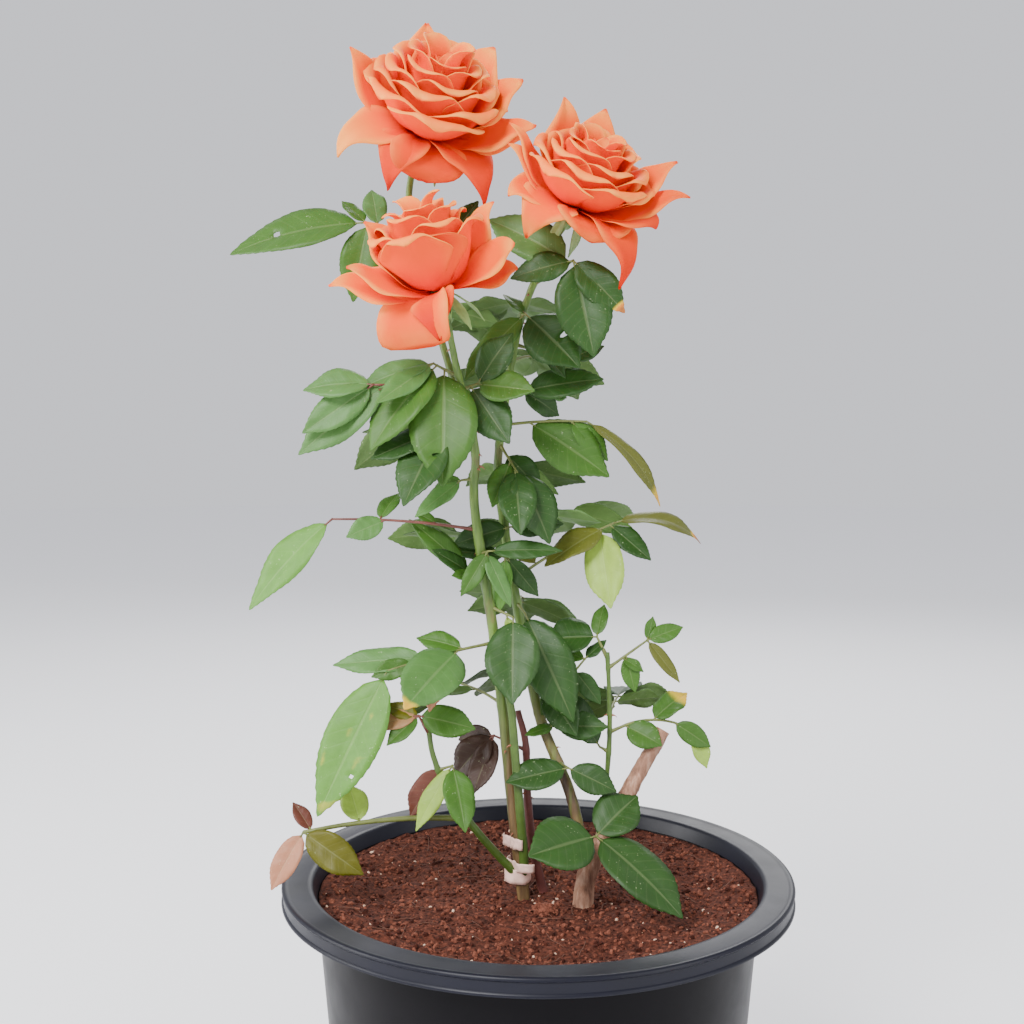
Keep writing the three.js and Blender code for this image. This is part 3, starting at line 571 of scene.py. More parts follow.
# canes: smooth lines through a few points, thinner towards the tip. foot and tip are radii, from is the cane
# that one grows on and the height there, and slot is 0 for green bark, 2 for red bark and 3 for young bark
print("canes")
canes = {
    "left_cane": {"foot": 3.2, "tip": 1.4, "slot": 0, "prickles": 14, "points": [
        (-7, -9, 194), (-13, -8, 245), (-21, -8, 320), (-31, -10, 388), (-31, -14, 420), (-39, -25, 456),
        (-44, -35, 485)]},
    "old_cane": {"foot": 5.2, "tip": 3.6, "points": [
        (22, -18, 194), (25, -15, 210), (42, -8, 242), (63, 0, 277)]},
    "middle_cane": {"foot": 2.4, "tip": 1.6, "slot": 2, "prickles": 3, "points": [
        (3, 0, 194), (-2, 1, 215), (-5, 2, 241), (-6, 3, 269), (-10, 4, 286)]},
    "right_cane": {"from": ("old_cane", 209), "foot": 2.9, "tip": 1.5, "slot": 0, "prickles": 15, "points": [
        (16, -8, 247), (1, 1, 284), (-9, 6, 332), (-16, 8, 374), (-20, 8, 410), (-15, 6, 450), (-8, 2, 484),
        (5, -2, 515), (14, -4, 529)]},
    "flower_stem": {"from": ("left_cane", 416), "foot": 1.9, "tip": 1.6, "slot": 0, "prickles": 4, "points": [
        (-40, 0, 446), (-50, 8, 478), (-60, 10, 511), (-64, 8, 540), (-60, 5, 565)]},
    "side_shoot": {"from": ("old_cane", 214), "foot": 1.5, "tip": 1, "slot": 3, "prickles": 3, "points": [
        (33, -2, 237), (36, 0, 270), (36, 2, 294), (35, 3, 316)]},
    "low_shoot": {"from": ("left_cane", 203), "foot": 2.2, "tip": 1.1, "slot": 3, "prickles": 3, "points": [
        (-29, -14, 228), (-43, -18, 249), (-51, -20, 268), (-54, -20, 286)]},
    # this one has no solid of its own
    "twin_shoot": {"from": ("left_cane", 204), "foot": 2.5, "tip": 1.7, "slot": 3, "prickles": 3, "points": [
        (-7, -12, 214), (-9, -13, 240), (-11.4, -13, 268), (-12.9, -13, 287), (-15.3, -12, 302),
        (-17, -11, 324)]},
}


def onCurve(points, t):
    x = min(max(t, 0), 1) * (len(points) - 1)
    k = min(int(x), len(points) - 2)
    f = x - k
    p1, p2 = points[k], points[k + 1]
    p0 = points[k - 1] if k else p1 * 2 - p2
    p3 = points[k + 2] if k + 2 < len(points) else p2 * 2 - p1
    return (p1 * 2 + (p2 - p0) * f + (p0 * 2 - p1 * 5 + p2 * 4 - p3) * f ** 2
            + (p1 * 3 - p0 - p2 * 3 + p3) * f ** 3) / 2


def atHeight(cane, height):
    low, high = 0, 1
    for i in range(30):
        t = (low + high) / 2
        if onCurve(cane["line"], t).z < height:
            low = t
        else:
            high = t
    return low


def caneRadius(cane, t):
    return cane["foot"] + (cane["tip"] - cane["foot"]) * t


for cane in canes.values():
    cane["line"] = [Vector(p) for p in cane["points"]]
    cane["scars"] = []
    if "from" in cane:
        parent, height = cane["from"]
        t = atHeight(canes[parent], height)
        root = onCurve(canes[parent]["line"], t)
        along = (cane["line"][0] - root).normalized()
        # it starts inside its parent
        cane["line"].insert(0, root + along * 0.4 * caneRadius(canes[parent], t))

# name, cane and height, stalk (turn, rise, length, bend), each leaflet's colour, and each leaflet: place
# along the stalk, turn, rise, length, and where they are given breadth over length and droop
sprays = [
    ["flower_left", "flower_stem", 525, [180, 13, 21, 0], "mid grey mid mid",
     [[1, 184, -4, 67, 0.45], [0.7, 110, 60, 24], [1, 150, 42, 18], [0.95, 235, -72, 38]]],
    ["flower_back", "flower_stem", 506, [30, 45, 12, 0], "dark dark mid",
     [[1, 20, 52, 32], [1, 75, 20, 26], [0.8, 340, 10, 20]]],
    ["right_top", "right_cane", 499, [330, 25, 20, 0], "dark dark dark grey",
     [[1, 310, -72, 46, 0.6], [1, 335, -42, 34], [1, 190, -12, 30], [0.9, 165, 32, 46]]],
    ["right_neck", "right_cane", 484, [285, 0, 5, 0], "dark mid mid",
     [[1, 336, -42, 36, 0.8], [0.8, 150, 48, 16], [0.6, 213, -38, 44, 0.36]]],
    ["right_far", "right_cane", 470, [2, -17, 24, 0], "dark dark dark",
     [[1, 8, 22, 20], [0.5, 330, -40, 17], [0.9, 70, 10, 20]]],
    ["right_upper", "right_cane", 447, [350, 0, 6, 0], "dark dark grey",
     [[1, 348, 11, 38, 0.48], [0.9, 20, -28, 24], [1, 40, -5, 28]]],
    ["right_drooping", "right_cane", 430, [355, 6, 40, 10], "mid mid moss",
     [[0.28, 342, -30, 46, 0.6], [0.8, 350, -42, 26], [1, 350, -30, 56, 0.2, 50]]],
    ["centre", "right_cane", 421, [300, -38, 18, 0], "dark dark dark mid",
     [[0.3, 330, -40, 24, 0.62], [1, 318, -52, 38, 0.6], [0.9, 276, -48, 36], [0.6, 240, -50, 26]]],
    ["centre_low", "right_cane", 378, [285, 10, 5, 0], "dark dark",
     [[1, 352, 8, 26, 0.55], [1, 196, -14, 28, 0.5]]],
    ["left_neck", "left_cane", 447, [355, 20, 6, 0], "dark mid dark",
     [[1, 350, 58, 28, 0.6], [0.9, 330, -6, 30, 0.6], [0.4, 320, -48, 34, 0.6]]],
    ["left_upper", "left_cane", 453, [185, 28, 10, 0], "grey grey mid mid",
     [[1, 190, -12, 36, 0.45], [1, 219, -30, 36, 0.35], [0.4, 270, -58, 56, 0.58],
      [0.8, 216, -40, 50, 0.5]]],
    ["left_outer", "left_cane", 446, [195, 7, 40, 8], "grey grey grey",
     [[1, 184, 4, 32, 0.6], [1, 190, -34, 38, 0.45], [0.85, 190, -36, 50, 0.4]]],
    ["left_hanging", "left_cane", 436, [228, -22, 20, 0], "dark dark dark",
     [[1, 190, -22, 32], [0.9, 236, -50, 42, 0.56], [0.6, 220, -50, 30]]],
    ["left_small", "left_cane", 404, [200, -5, 4, 0], "grey mid",
     [[1, 206, -34, 28, 0.4], [0.9, 170, -10, 14]]],
    ["left_long", "left_cane", 379, [183, 8, 68, 10], "fresh grey mid mid",
     [[1, 190, -40, 58, 0.36, 24], [0.62, 205, -20, 20, 0.6], [0.66, 60, 45, 20], [0.25, 160, 30, 12]]],
    ["left_middle", "left_cane", 351, [178, 40, 5, 0], "mid dark mid",
     [[1, 176, 43, 38, 0.35], [0.9, 200, 34, 22], [0.5, 230, 10, 14]]],
    ["front_middle", "left_cane", 341, [335, -20, 10, 0], "deep light",
     [[1, 268, -54, 42, 0.64], [0.6, 306, -62, 28, 0.28]]],
    ["middle_left", "left_cane", 367, [300, 15, 5, 0], "dark mid grey",
     [[1, 352, 4, 34, 0.3], [0.8, 205, -56, 24, 0.4], [0.5, 325, -60, 28, 0.36]]],
    ["middle_right", "right_cane", 363, [255, 10, 6, 0], "dark fresh dark",
     [[1, 192, 12, 26, 0.42], [0.8, 250, -68, 26, 0.42], [0.4, 345, -48, 24, 0.45]]],
    ["left_low", "left_cane", 323, [192, -10, 52, 8], "mid grey grey fresh pink mid",
     [[0.25, 168, 16, 24], [0.6, 178, -2, 45, 0.34], [0.3, 240, -20, 46, 0.62], [1, 210, -60, 72, 0.41],
      [0.4, 250, -44, 32, 0.5], [0.75, 195, -15, 20]]],
    ["right_slope", "right_cane", 341, [295, -24, 7, 0], "dark", [[1, 310, -52, 56, 0.45]]],
    ["right_middle", "right_cane", 352, [4, 34, 56, 14], "moss moss moss dark light",
     [[0.2, 150, 35, 19], [0.9, 205, -24, 36], [1, 352, 16, 48, 0.26, 75], [0.95, 338, -38, 26],
      [0.85, 280, -60, 40]]],
    ["right_rising", "right_cane", 285, [5, 50, 32, 0], "dark mid dark dark",
     [[1, 20, 40, 14], [1, 160, 15, 14], [0.6, 150, 50, 22], [0.75, 330, -45, 20]]],
    ["right_inner", "right_cane", 304, [330, -30, 5, 0], "dark mid",
     [[1, 322, -48, 28, 0.6], [0.8, 275, -80, 16, 0.22]]],
    ["front_inner", "right_cane", 280, [330, 0, 4, 0], "dark mid",
     [[1, 350, 2, 25, 0.6], [0.8, 200, -12, 15]]],
    ["front_low", "right_cane", 262, [300, -5, 6, 0], "deep deep",
     [[1, 192, -8, 30, 0.6], [1, 343, -20, 25, 0.6]]],
    ["foot_front", "old_cane", 224, [255, 25, 13, 0], "deep deep deep",
     [[1, 212, -2, 36, 0.85], [1, 25, 40, 28, 0.85], [1, 318, -22, 54, 0.5]]],
    ["shoot_tip", "side_shoot", 313, [150, 60, 7, 0], "dark mid", [[1, 168, -2, 27, 0.9], [1, 70, 60, 18]]],
    ["shoot_high", "side_shoot", 308, [5, 35, 22, 0], "mid mid mid mid moss",
     [[0.3, 340, -25, 12], [0.4, 315, -70, 18], [1, 5, 22, 19], [1, 50, 65, 12], [1, 335, -48, 25, 0.3]]],
    ["shoot_left", "side_shoot", 266, [185, 30, 3, 0], "dark", [[1, 168, 55, 34, 0.5]]],
    ["shoot_right", "side_shoot", 276, [2, 22, 42, 60], "mid mid mid light",
     [[0.15, 330, -18, 20, 0.75], [0.5, 20, 40, 22, 0.7], [0.75, 345, -30, 21], [1, 332, -66, 19]]],
    ["low_shoot_tip", "low_shoot", 280, [200, 60, 5, 0], "russet mid olive mid",
     [[1, 185, -8, 24, 0.45], [1, 348, -8, 27, 0.6], [0.8, 170, 20, 18], [1, 212, -34, 20]]],
    ["low_shoot_middle", "low_shoot", 262, [345, 20, 6, 0], "light red mid",
     [[1, 213, -50, 34, 0.32], [0.2, 176, -52, 30], [1, 290, -50, 32, 0.5]]],
    ["dead_leaf", "middle_cane", 266, [180, 25, 15, 0], "dead dead dead",
     [[1, 195, -38, 28, 0.7], [1, 150, -10, 24], [1, 235, -55, 30, 0.5]]],
    ["low_left", "low_shoot", 237, [190, 3, 76, 14], "light red olive pink",
     [[0.64, 120, 50, 20, 0.7], [0.95, 150, 50, 16], [1, 335, -26, 34, 0.5], [1, 220, -50, 29, 0.45]]],
]
# the side that the photo hides: name, cane, height, turn
backSprays = [
    ("back_top", "flower_stem", 486, 75), ("back_upper_right", "right_cane", 462, 62),
    ("back_upper_left", "flower_stem", 450, 110), ("back_right", "right_cane", 405, 72),
    ("back_left", "left_cane", 372, 108), ("back_middle", "right_cane", 335, 88),
    ("back_low_left", "left_cane", 292, 122), ("back_low_right", "side_shoot", 285, 78),
    ("back_neck", "right_cane", 489, 100), ("back_side_left", "left_cane", 427, 146),
    ("back_side_right", "right_cane", 381, 38),
]
for name, cane, height, turn in backSprays:
    random = seeded(height)
    stalk = (turn, random(0, 25), random(30, 44), 14)
    leaflets = [(1, turn, random(-30, 5), random(38, 46))]
    for along, share in ((0.95, 0.85), (0.55, 0.72)):
        for hand in (-1, 1):
            leaflets.append((along, turn + hand * random(50, 70), random(-25, 5), random(36, 44) * share))
    sprays.append((name, cane, height, stalk, "", leaflets))
for name, cane, height, *rest in sprays:
    canes[cane]["scars"].append(height)
for cane in canes.values():
    if "from" in cane:
        canes[cane["from"][0]]["scars"].append(cane["from"][1])


# bark swells a little where leaves grow, and has fine ridges
def barkRelief(cane, rough):
    def relief(p):
        swell = sum(math.exp(-((p.z - z) / 1.8) ** 2) for z in cane["scars"]) * 0.22
        ridge = noise.noise(Vector((p.x / 1.6, p.y / 1.6, p.z / 7))) * rough
        return min(swell, 0.45) + ridge

    return relief


ringGap = 1.6  # between the rings of a cane's bark
footDepth = 5  # how far a cane's foot goes down in the soil


def growCane(part, cane, sides=16, rough=0.16, slot=0, capSlot=None):
    length = sum((b - a).length for a, b in zip(cane["line"], cane["line"][1:]))
    steps = int(length / ringGap)
    line = [onCurve(cane["line"], i / steps) for i in range(steps + 1)]
    if "from" not in cane:
        line.insert(0, line[0] - up * footDepth)
        steps += 1
    radii = [caneRadius(cane, i / steps) for i in range(steps + 1)]
    addTube(part, line, radii, sides, slot, barkRelief(cane, rough), capSlot)


# prickles lean down the cane
def growPrickles(part, cane, random):
    for i in range(cane["prickles"]):
        t = random(0.06, 0.94)
        p = onCurve(cane["line"], t)
        along = (onCurve(cane["line"], t + 0.01) - p).normalized()
        out = heading(random(0, 360), 0)
        out = (out - along * out.dot(along)).normalized()
        size = random(1.6, 3.0)
        root = p + out * (caneRadius(cane, t) - 0.3)
        line = [root, root + out * size * 0.4, root + out * size * 0.75 - along * size * 0.15,
                root + out * size - along * size * 0.45]
        addTube(part, line, [0.75, 0.42, 0.22, 0.05], 6, 1)


caneChance = seeded(41)
greenPart = newPart()
for name, cane in canes.items():
    if name != "old_cane":
        growCane(greenPart, cane, slot=cane["slot"])
        growPrickles(greenPart, cane, caneChance)
oldPart = newPart()
old = canes["old_cane"]
growCane(oldPart, old, 22, 0.55, 0, 1)
# two knobs where shoots were cut off: height, reach, turn
for z, reach, turn in ((228, 6.2, 300), (246, 5.4, 20)):
    p = onCurve(old["line"], atHeight(old, z))
    out = heading(turn, 10)
    addTube(oldPart, [p + out * 2, p + out * reach * 0.8, p + out * reach], [2.6, 1.9, 1.2], 10)
greenCanes = finishPart("greenCanes", greenPart, [greenBark, prickleSkin, redBark, youngBark])
oldCane = finishPart("oldCane", oldPart, [oldBark, cutWood])
oldCane.data.set_sharp_from_angle(angle=math.radians(60))
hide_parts("left_cane", "middle_cane", "right_cane", "flower_stem", "side_shoot", "low_shoot")
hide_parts("old_cane")


# torn graft tape round the left cane's foot: height, width, start, sweep and how loose its ends are
tapeBands = [(206, 8, 140, 320, 5), (211, 5, 120, 200, 5.5), (223, 6, 140, 150, 4.2)]


def makeTape():
    part = newPart()
    random = seeded(53)
    rows, cols = 5, 26
    for height, wide, start, sweep, loose in tapeBands:
        grid = np.zeros((rows, cols, 3))
        p = onCurve(canes["left_cane"]["line"], atHeight(canes["left_cane"], height))
        for j in range(cols):
            share = j / (cols - 1)
            out = heading(start + sweep * share, 0)
            away = 3.9 + loose * (ease(abs(share - 0.5) * 2) ** 2)
            away += 0.5 * noise.noise(Vector((share * 6, height, 0)))
            for i in range(rows):
                lift = (i / (rows - 1) - 0.5) * wide * (1 - 0.25 * abs(share - 0.5))
                crease = 0.5 * noise.noise(Vector((share * 9, i, height)))
                q = p + out * (away + crease) + up * lift
                q.z += 1.2 * noise.noise(Vector((share * 5, height, 3)))
                grid[i, j] = q
        addGrid(part, grid, random(0.3, 0.7))
    made = finishPart("graftTape", part, [graftTape, graftTape])
    addWall(made, "tape", 0)
    return made


tape = makeTape()

# leaves
print("leaves")
leafPart = newPart()
stalkPart = newPart()

# by spray and leaflet: how far from its tip one is dried and how much, the squares where it has holes, the
# ones seen from the side, so that their droop shows, and the worn one
dryTips = {("right_top", 1): (0.22, 0.8), ("shoot_right", 1): (0.6, 0.42), ("right_middle", 2): (0.25, 0.9),
           ("right_drooping", 2): (0.3, 0.5), ("left_low", 2): (0.2, 0.45)}
holes = {("right_neck", 0): {(13, 1), (13, 2), (14, 2), (14, 1)}, ("flower_left", 0): {(16, 4), (17, 4)},
         ("left_low", 3): {(18, 1)}, ("left_upper", 2): {(20, 4), (20, 5)}}
archedLeaves = {("right_middle", 2), ("right_drooping", 2)}
wornLeaf = ("left_low", 3)


# the outer corners of a hole are drawn in, so that it is round
def roundHole(grid, cells):
    corners = {}
    for i, j in cells:
        for corner in ((i, j), (i + 1, j), (i, j + 1), (i + 1, j + 1)):
            corners[corner] = corners.get(corner, 0) + 1
    middle = sum(grid[corner] for corner in corners) / len(corners)
    for corner, count in corners.items():
        if count == 1:
            grid[corner] += (middle - grid[corner]) * 0.3


# a blade with a keel, a wavy surface and toothed margins, that droops by so many degrees
def bladeGrid(start, direction, face, length, breadth, droop, random, teeth=14):
    across = direction.cross(face).normalized()
    rows = teeth * 2
    columns = np.linspace(-1, 1, 9)
    p, d = start.copy(), direction.copy()
    turn = Matrix.Rotation(-math.radians(droop / rows / 2), 3, across)
    folded, wave, phase = random(0.12, 0.4), random(0.4, 1.3), random(0, 6)
    grid = np.zeros((rows + 1, len(columns), 3))
    for i in range(rows + 1):
        s = i / rows
        if i:
            d = turn @ d
            p = p + d * length / rows
            d = turn @ d
        normal = across.cross(d).normalized()
        # full in the lower half, drawn out to a point at the tip
        pointed = 0.6 + 0.4 * ease((s - 0.5) / 0.5)
        half = breadth * length / 2 * math.sin(math.pi * min(s, 0.9999) ** 0.8) ** pointed
        half = max(half, 0.35 if i == 0 else 0.06)
        for j, u in enumerate(columns):
            side = abs(u)
            tooth = 1 if side < 1 else 1.002 if i % 2 else 0.988
            ahead = (length / rows * 0.4 if i % 2 and side == 1 else 0) + half * 0.12 * side * (1 - s)
            lift = half * (folded * side - folded * 0.8 * u * u)
            quilting = math.sin(math.tau * (4.5 * s - 0.75 * side))
            lift += 0.45 * quilting * side * (1.2 - side) * min(1, half / 6)
            lift += wave * math.sin(phase + s * 9 + u * 1.5) * u * u * min(1, half / 7)
            lift += 0.06 * half * side
            grid[i, j] = p + across * half * u * tooth + d * ahead + normal * lift
    return grid


def growStalk(cane, height, stalk):
    turn, rise, length, bend = stalk
    first = heading(turn, rise)
    t = atHeight(cane, height)
    p = onCurve(cane["line"], t)
    along = (onCurve(cane["line"], t + 0.01) - onCurve(cane["line"], t - 0.01)).normalized()
    lean = abs(first.dot(along))
    start = p + first * (caneRadius(cane, t) + 0.3 + lean) / max(math.sqrt(1 - lean * lean), 0.25)
    line = [start]
    steps = 4 if length > 30 else 2
    for i in range(steps):
        line.append(line[i] + heading(turn, rise - bend * i / steps) * length / steps)
    return p, line


def pointAlong(line, share):
    x = share * (len(line) - 1)
    k = min(int(x), len(line) - 2)
    return line[k].lerp(line[k + 1], x - k)


# shares of a leaflet's length
usualBreadth, leafStem = 0.52, 0.06
shortLeaf = 18
stalkRings = 12
extra = seeded(77)
for index, (name, caneName, height, stalk, tones, leaflets) in enumerate(sprays):
    origin, line = growStalk(canes[caneName], height, stalk)
    smooth = [origin] + [onCurve(line, i / stalkRings) for i in range(stalkRings + 1)]
    red = 1 if name in ("left_outer", "left_long", "low_shoot_tip", "dead_leaf") else 0
    stout = 1.9 if name == "low_left" else 1
    radii = [1.15, 1.0] + [0.82 - 0.3 * i / stalkRings for i in range(1, stalkRings + 1)]
    addTube(stalkPart, smooth, [r * stout for r in radii], 8, red)
    # leaves face the side that they grow on
    front = 90 if name.startswith("back") else 270
    random = seeded(1000 + index)
    for k, (along, turn, rise, length, *rest) in enumerate(leaflets):
        leaf = (name, k)
        pick = random if length >= shortLeaf else extra
        tilt, droop = pick(-25, 25), pick(0, 25)
        breadth = rest[0] if rest else usualBreadth
        droop = rest[1] if len(rest) > 1 else droop
        d = heading(turn, rise)
        g = heading(front, 75 if leaf in archedLeaves else 40)
        face = Matrix.Rotation(math.radians(tilt), 3, d) @ (g - d * g.dot(d)).normalized()
        root = pointAlong(line, along)
        start = root + d * length * leafStem
        grid = bladeGrid(start, d, face, length, breadth, droop, extra)
        if leaf in holes:
            roundHole(grid, holes[leaf])
        chance = extra(0, 1)
        tone = "dark" if chance < 0.6 else "mid" if chance < 0.86 else "grey"
        if tones:
            tone = tones.split()[k]
        dry_and_painted_light = np.zeros(grid.shape[:2])
        if leaf in dryTips:
            reach, most = dryTips[leaf]
            dry_and_painted_light += [[most * ease((s - 1 + reach) / reach * 1.4)] for s in np.linspace(0, 1, len(grid))]
        if leaf == wornLeaf:
            for i, j in np.ndindex(dry_and_painted_light.shape):
                dry_and_painted_light[i, j] = 0.27 * ease((noise.noise(Vector(grid[i, j]) / 10) - 0.05) / 0.5)
        addGrid(leafPart, grid, extra(0.3, 0.7), dry_and_painted_light, leafSlots[tone], holes.get(leaf, ()))
        stem = [root - d * 0.5, root + d * length * leafStem / 2, start + d * 1.2]
        addTube(stalkPart, stem, [0.55, 0.5, 0.42], 6, red)

leafPiece = finishPart("leaflets", leafPart, leafMaterials)
addWall(leafPiece, "leaf")
stalkPiece = finishPart("leafStalks", stalkPart, [stalkSkin, redStalk])
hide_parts(*["leaves_" + one[0] for one in sprays])

# blooms: lean is to the right and to the front, wide and tall scale the whorl, turns is how many petals it
# has, fall how much lower its last ones stand, heart the paler cast of its middle, partly the inner petals'
# own colour and partly painted highlight, and sepals their rise. Each outer petal has its turn about the
# bloom, a profile of four (radius, height) points, its width, how far it wraps, how far its sides roll back,
# how blunt its tip is, where it starts to narrow, its twist, and how much redder as painted shade, or paler
# below nought as painted highlight, it gets towards its tip
print("blooms")
blooms = {
    "bloom_top": {"cane": "flower_stem", "base": (-56, 3, 571), "lean": (20, 33), "wide": 1, "tall": 0.96,
        "fall": 20, "turns": 24, "seed": 3, "heart": 0, "sepals": -38, "outer": [
        (172, (5, 2), (24, 4), (36, 22), (42, 33), 38, 1.3, 50, 1.1, 0.3, -25, 0),
        (214, (5, 2), (22, 6), (38, 8), (52, -9), 43, 1.8, 45, 1, 0.15, -15, -0.7),
        (248, (5, 1), (22, 6), (36, 6), (38, -22), 34, 1.6, 50, 1, 0.35, 0, 1),
        (276, (5, 1), (20, 4), (31, 3), (35, -9), 38, 1.4, 15, 3, 0.6, 0, 0.8),
        (313, (5, 1), (24, 6), (40, 8), (56, -7), 48, 1.6, 50, 1, 0.25, 0, 1),
        (346, (5, 2), (28, 4), (40, 18), (48, 30), 40, 1.4, 60, 1.2, 0.4, 15, 0.3),
        (358, (5, 2), (28, 4), (38, 16), (48, 18), 42, 1.4, 60, 1.1, 0.4, 15, 0),
        (20, (5, 2), (26, 4), (32, 26), (38, 40), 40, 1.2, 60, 1.4, 0.5, 0, 0),
        (55, (5, 2), (26, 4), (30, 30), (36, 45), 40, 1.2, 60, 1.4, 0.5, 0, 0),
        (108, (5, 2), (26, 4), (28, 30), (33, 45), 38, 1.2, 70, 1.2, 0.5, 0, 0)]},
    "bloom_right": {"cane": "right_cane", "base": (17, -4, 535), "lean": (24, 30), "wide": 0.9, "tall": 0.84,
        "fall": 16, "turns": 22, "seed": 5, "heart": 0, "sepals": -62, "outer": [
        (202, (5, 2), (24, 4), (32, 8), (39, 1), 36, 1.4, 50, 1, 0.25, -15, 0),
        (230, (5, 2), (22, 6), (32, 8), (36, -14), 42, 2, 40, 1, 0.35, 0, 0.3),
        (180, (5, 2), (24, 4), (32, 22), (42, 32), 22, 1.2, 60, 1, 0.4, -20, 0),
        (188, (5, 2), (24, 4), (32, 18), (41, 24), 22, 1.2, 60, 1, 0.4, -20, 0),
        (284, (5, 1), (20, 4), (32, 6), (36, 0), 42, 1.4, 30, 1.6, 0.5, 0, 0.6),
        (309, (5, 1), (24, 8), (42, 8), (54, -15), 38, 1.6, 60, 1, 0.25, 0, 1),
        (332, (5, 2), (26, 4), (36, 18), (43, 14), 42, 1.4, 50, 1.1, 0.4, 10, 0.9),
        (352, (5, 2), (26, 4), (36, 22), (47, 32), 36, 1.4, 60, 1, 0.35, 15, 0.6),
        (14, (5, 2), (26, 4), (30, 24), (37, 40), 36, 1.2, 60, 1.2, 0.5, 0, 0.4),
        (88, (5, 2), (22, 4), (24, 28), (27, 45), 36, 1.2, 60, 1.2, 0.5, 0, 0),
        (124, (5, 2), (22, 4), (26, 28), (32, 44), 36, 1.2, 60, 1, 0.5, 0, 0)]},
    "bloom_front": {"cane": "left_cane", "base": (-46, -36, 491), "lean": (-14, 12), "wide": 0.74,
        "tall": 0.95, "fall": 12, "turns": 16, "seed": 7, "heart": -0.6, "sepals": -38, "outer": [
        (190, (4, 2), (22, 4), (34, 14), (48, 22), 34, 1.6, 40, 1, 0.35, -35, 0),
        (206, (4, 2), (22, 4), (32, 18), (39, 26), 34, 1.4, 50, 1.2, 0.4, -30, 0),
        (240, (4, 1), (16, 2), (24, 0), (30, -20), 40, 1.6, 20, 6, 0.75, 0, 0.6),
        (262, (4, 2), (20, 4), (22, 24), (25, 32), 46, 1.2, 35, 1.8, 0.6, 0, 0.6),
        (343, (4, 2), (20, 4), (32, 14), (40, 18), 28, 1.2, 70, 1.8, 0.5, 35, 0),
        (356, (4, 2), (22, 2), (30, 4), (38, 6), 26, 1.2, 60, 1.8, 0.5, 30, 0.6),
        (17, (4, 2), (18, 6), (24, 26), (32, 38), 28, 1.2, 60, 1, 0.4, 40, 0),
        (168, (4, 2), (18, 6), (20, 28), (23, 42), 40, 1.2, 50, 1.2, 0.5, -20, 0),
        (264, (4, 0), (18, 3), (28, 1), (34, -17), 26, 1.6, 35, 1.5, 0.4, 12, 1.2)]},
}


def bezier(profile, s):
    t = 1 - s
    k = (t ** 3, 3 * s * t * t, 3 * s * s * t, s ** 3)
    return [sum(k[i] * profile[i][axis] for i in range(4)) for axis in (0, 1)]


# shares of a petal's profile: where the petal ends, and where its rim starts to roll back
petalEnd, rimStart = 0.985, 0.7


def petalGrid(petal, rim, ripple, random, rows=22, cols=14):
    turn, p0, p1, p2, p3, width, wrap, roll, blunt, taper, twist = petal
    turned = math.radians(twist)
    profile = (p0, p1, p2, p3)
    out, across = heading(turn, 0), heading(turn + 90, 0)
    grid = np.zeros((rows + 1, cols + 1, 3))
    middle = cols // 2
    shift = Vector((random(0, 50), random(0, 50), random(0, 50)))
    p = None
    for i in range(rows + 1):
        s = i / rows * petalEnd
        r, z = bezier(profile, s)
        r1, z1 = bezier(profile, max(s - 0.01, 0))
        r2, z2 = bezier(profile, min(s + 0.01, 1))
        inward = (up * (r2 - r1) + out * (z1 - z2)).normalized()
        along = (out * (r2 - r1) + up * (z2 - z1)).normalized()
        bend = math.radians(rim) * ease((s - rimStart) / 0.26)
        if bend:
            roller = Matrix.Rotation(bend, 3, across)
            inward, along = roller @ inward, roller @ along
        if p is None or s <= rimStart:
            p = out * r + up * z
        else:
            stepLength = math.dist(bezier(profile, s), bezier(profile, (i - 1) / rows * petalEnd))
            p = p + along * stepLength
        grow = 0.3 + 0.7 * ease(s / 0.6)
        half = width / 2 * grow * (1 if s < taper else max(0, 1 - ((s - taper) / (1 - taper)) ** blunt))
        sideways = across * math.cos(turned) + inward * math.sin(turned)
        inward = inward * math.cos(turned) - across * math.sin(turned)
        curl = min(half / max(r * wrap, 5), 1.35)
        back = math.radians(roll) * ease((s - 0.3) / 0.4)
        grid[i, middle] = p
        for hand in (-1, 1):
            q = p.copy()
            for j in range(middle):
                u = (j + 0.5) / middle
                a = curl * u - back * max(0, (u - 0.62) / 0.38)
                q = q + (sideways * hand * math.cos(a) + inward * math.sin(a)) * half / middle
                ruffle = noise.noise(q / 13 + shift) * ripple * u * ease(s / 0.5)
                grid[i, middle + hand * (j + 1)] = q + inward * ruffle
    return grid[:, ::-1]


golden = 137.5  # degrees from each petal of the whorl to the next


def whorlPetals(bloom):
    random = seeded(bloom["seed"])
    petals = []
    # the heart: small petals folded nearly shut over one another
    for k in range(6):
        high = (44 - 1.5 * k) * bloom["tall"]
        near = 2.2 + 0.7 * k
        petals.append((k * golden + 60, (1, 3), (near + 3, 6), (near + 2.5, high * 0.8), (near * 0.5, high),
                       13 + k, 1.2, 5, 2.2, 0.6, 0))
    for k in range(bloom["turns"]):
        t = k / (bloom["turns"] - 1)
        turn = k * golden + random(-10, 10)
        reach = (6 + 24 * t) * bloom["wide"] * random(0.94, 1.06)
        top = (50 - bloom["fall"] * t) * bloom["tall"] * random(0.95, 1.05)
        petals.append((turn, (2 + 3 * t, 3), (reach * 0.8 + 6, 5), (reach * (0.9 + 0.1 * t), top * 0.9),
                       (reach + (2 + 9 * t) * bloom["wide"], top - t), (26 + 26 * t) * bloom["wide"],
                       1.1, 20 + 60 * t, 2.4 - 1.3 * t, 0.6 - 0.1 * t, 0))
    return petals


# how a bloom is turned, where it stands and its axis
def bloomFrame(bloom):
    right, front = (math.tan(math.radians(angle)) for angle in bloom["lean"])
    axis = Vector((right, -front, 1)).normalized()
    across = (Vector((1, 0, 0)) - axis * axis.x).normalized()
    turn = np.array([across, axis.cross(across), axis])
    return turn, np.array(bloom["base"], float), axis


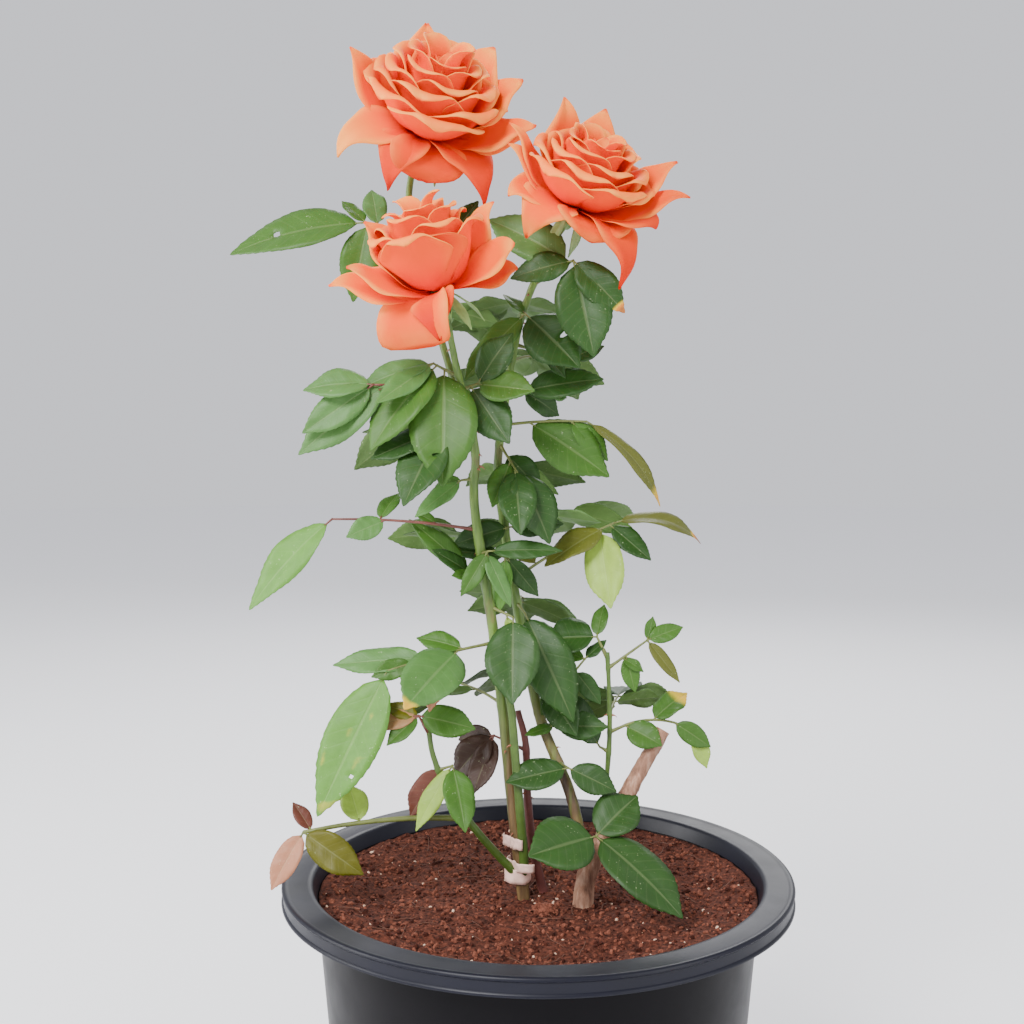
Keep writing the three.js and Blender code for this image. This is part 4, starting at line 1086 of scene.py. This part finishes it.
hipPart = newPart()
for name, bloom in blooms.items():
    turn, base, axis = bloomFrame(bloom)
    part = newPart()
    random = seeded(bloom["seed"] * 31)
    whorl = whorlPetals(bloom)
    for k, petal in enumerate(whorl):
        t = k / (len(whorl) - 1)
        grid = petalGrid(petal, 30 + 95 * t, 0.8 + 1.2 * t, random)
        # painted highlight: the heart's cast makes the inner petals paler, partly as their own paler colour
        addGrid(part, grid @ turn + base, random(0.25, 0.75), bloom["heart"] * (1 - t))
    for *petal, cast in bloom["outer"]:
        grid = petalGrid(petal, 35, 2.2, random)
        # painted shade: the cast reddens an outer petal towards its tip, and a cast below nought paints it
        # paler as a highlight
        casts = np.zeros(grid.shape[:2]) + np.linspace(0, 1, len(grid))[:, None] * cast
        addGrid(part, grid @ turn + base, random(0.2, 0.6), casts)
    petals = finishPart("petals_" + name, part, [petalFace, petalBack])
    addWall(petals, "petal", 0)
    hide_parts(name)
    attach(petals, "root")

    # hip, neck and folded-back sepals below the petals
    tip = Vector(base)
    cane = canes[bloom["cane"]]
    end = onCurve(cane["line"], 1)
    before = onCurve(cane["line"], 0.97)
    along = (end - before).normalized()
    neck = [before, end, end + along * 1.5] + [tip + axis * z for z in (-9, -6, -3, 0, 3)]
    addTube(hipPart, neck, [cane["tip"] * 0.95, cane["tip"], cane["tip"], 2.2, 4.2, 5.0, 5.6, 4.0], 14)
    for i in range(5):
        d, face, out = (Vector(np.array(heading(i * 72 + 20, rise)) @ turn)
                        for rise in (bloom["sepals"], 52, 0))
        root = tip + out * 4.4 - axis * 0.5
        addGrid(hipPart, bladeGrid(root, d, face, 22, 0.24, 30, random, 7), 0.5, 0, 1)
hipPiece = finishPart("hips", hipPart, [hipSkin, hipSkin])
addWall(hipPiece, "sepal", 0)

for one in (potPiece, soilPiece, crumbs, greenCanes, oldCane, tape, leafPiece, stalkPiece, hipPiece):
    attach(one, "root")

# floor, light and camera
print("studio")
floorRadius = 6000
floorShape = bmesh.new()
bmesh.ops.create_circle(floorShape, cap_ends=True, segments=96, radius=floorRadius)
floorLook = newMaterial("pale floor", Roughness=0.9, Base_Color=linear(250, 250, 252))
floor = meshFrom("floor", floorShape, [floorLook])
floor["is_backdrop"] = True


# name, place and target in metres, size and power
def areaLight(name, spot, target, size, power):
    light = bpy.data.lights.new(name, "AREA")
    light.shape = "DISK"
    light.size, light.energy = size, power
    made = placed(name, light)
    made.location = spot
    made.rotation_euler = (Vector(target) - Vector(spot)).to_track_quat("-Z", "Y").to_euler()
    made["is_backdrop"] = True


areaLight("key", (-0.9, -1.5, 1.7), (0, 0, 0.35), 0.9, 70)
areaLight("fill", (1.5, -1.1, 0.9), (0, 0, 0.35), 1.4, 16)
areaLight("back", (0.3, 1.6, 1.5), (0, 0, 0.4), 1.2, 22)
areaLight("window", (-1.8, -0.2, 0.9), (0, 0, 0.3), 1.1, 30)
world = bpy.data.worlds.new("studio")
world.use_nodes = True
background = world.node_tree.nodes["Background"].inputs
background["Color"].default_value = (0.93, 0.94, 1.0, 1)
background["Strength"].default_value = 0.95
scene.world = world

# the photo's camera, worked out from the ellipse of the pot's rim: place in metres, and its tilt
view = {"lens": 45.7, "place": (-0.01293, -0.64424, 0.43296), "down": 4.081}
camera = bpy.data.cameras.new("camera")
camera.sensor_width, camera.lens, camera.clip_start = 36, view["lens"], 0.01
seen = placed("camera", camera)
seen.location = view["place"]
seen.rotation_euler = (math.radians(90 - view["down"]), 0, 0)
scene.camera = seen

low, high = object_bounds()
for title, a, b in (("cad", cadLow, cadHigh), ("dressed", low, high)):
    print(title, [round((q - p) / mm) for p, q in zip(a, b)])
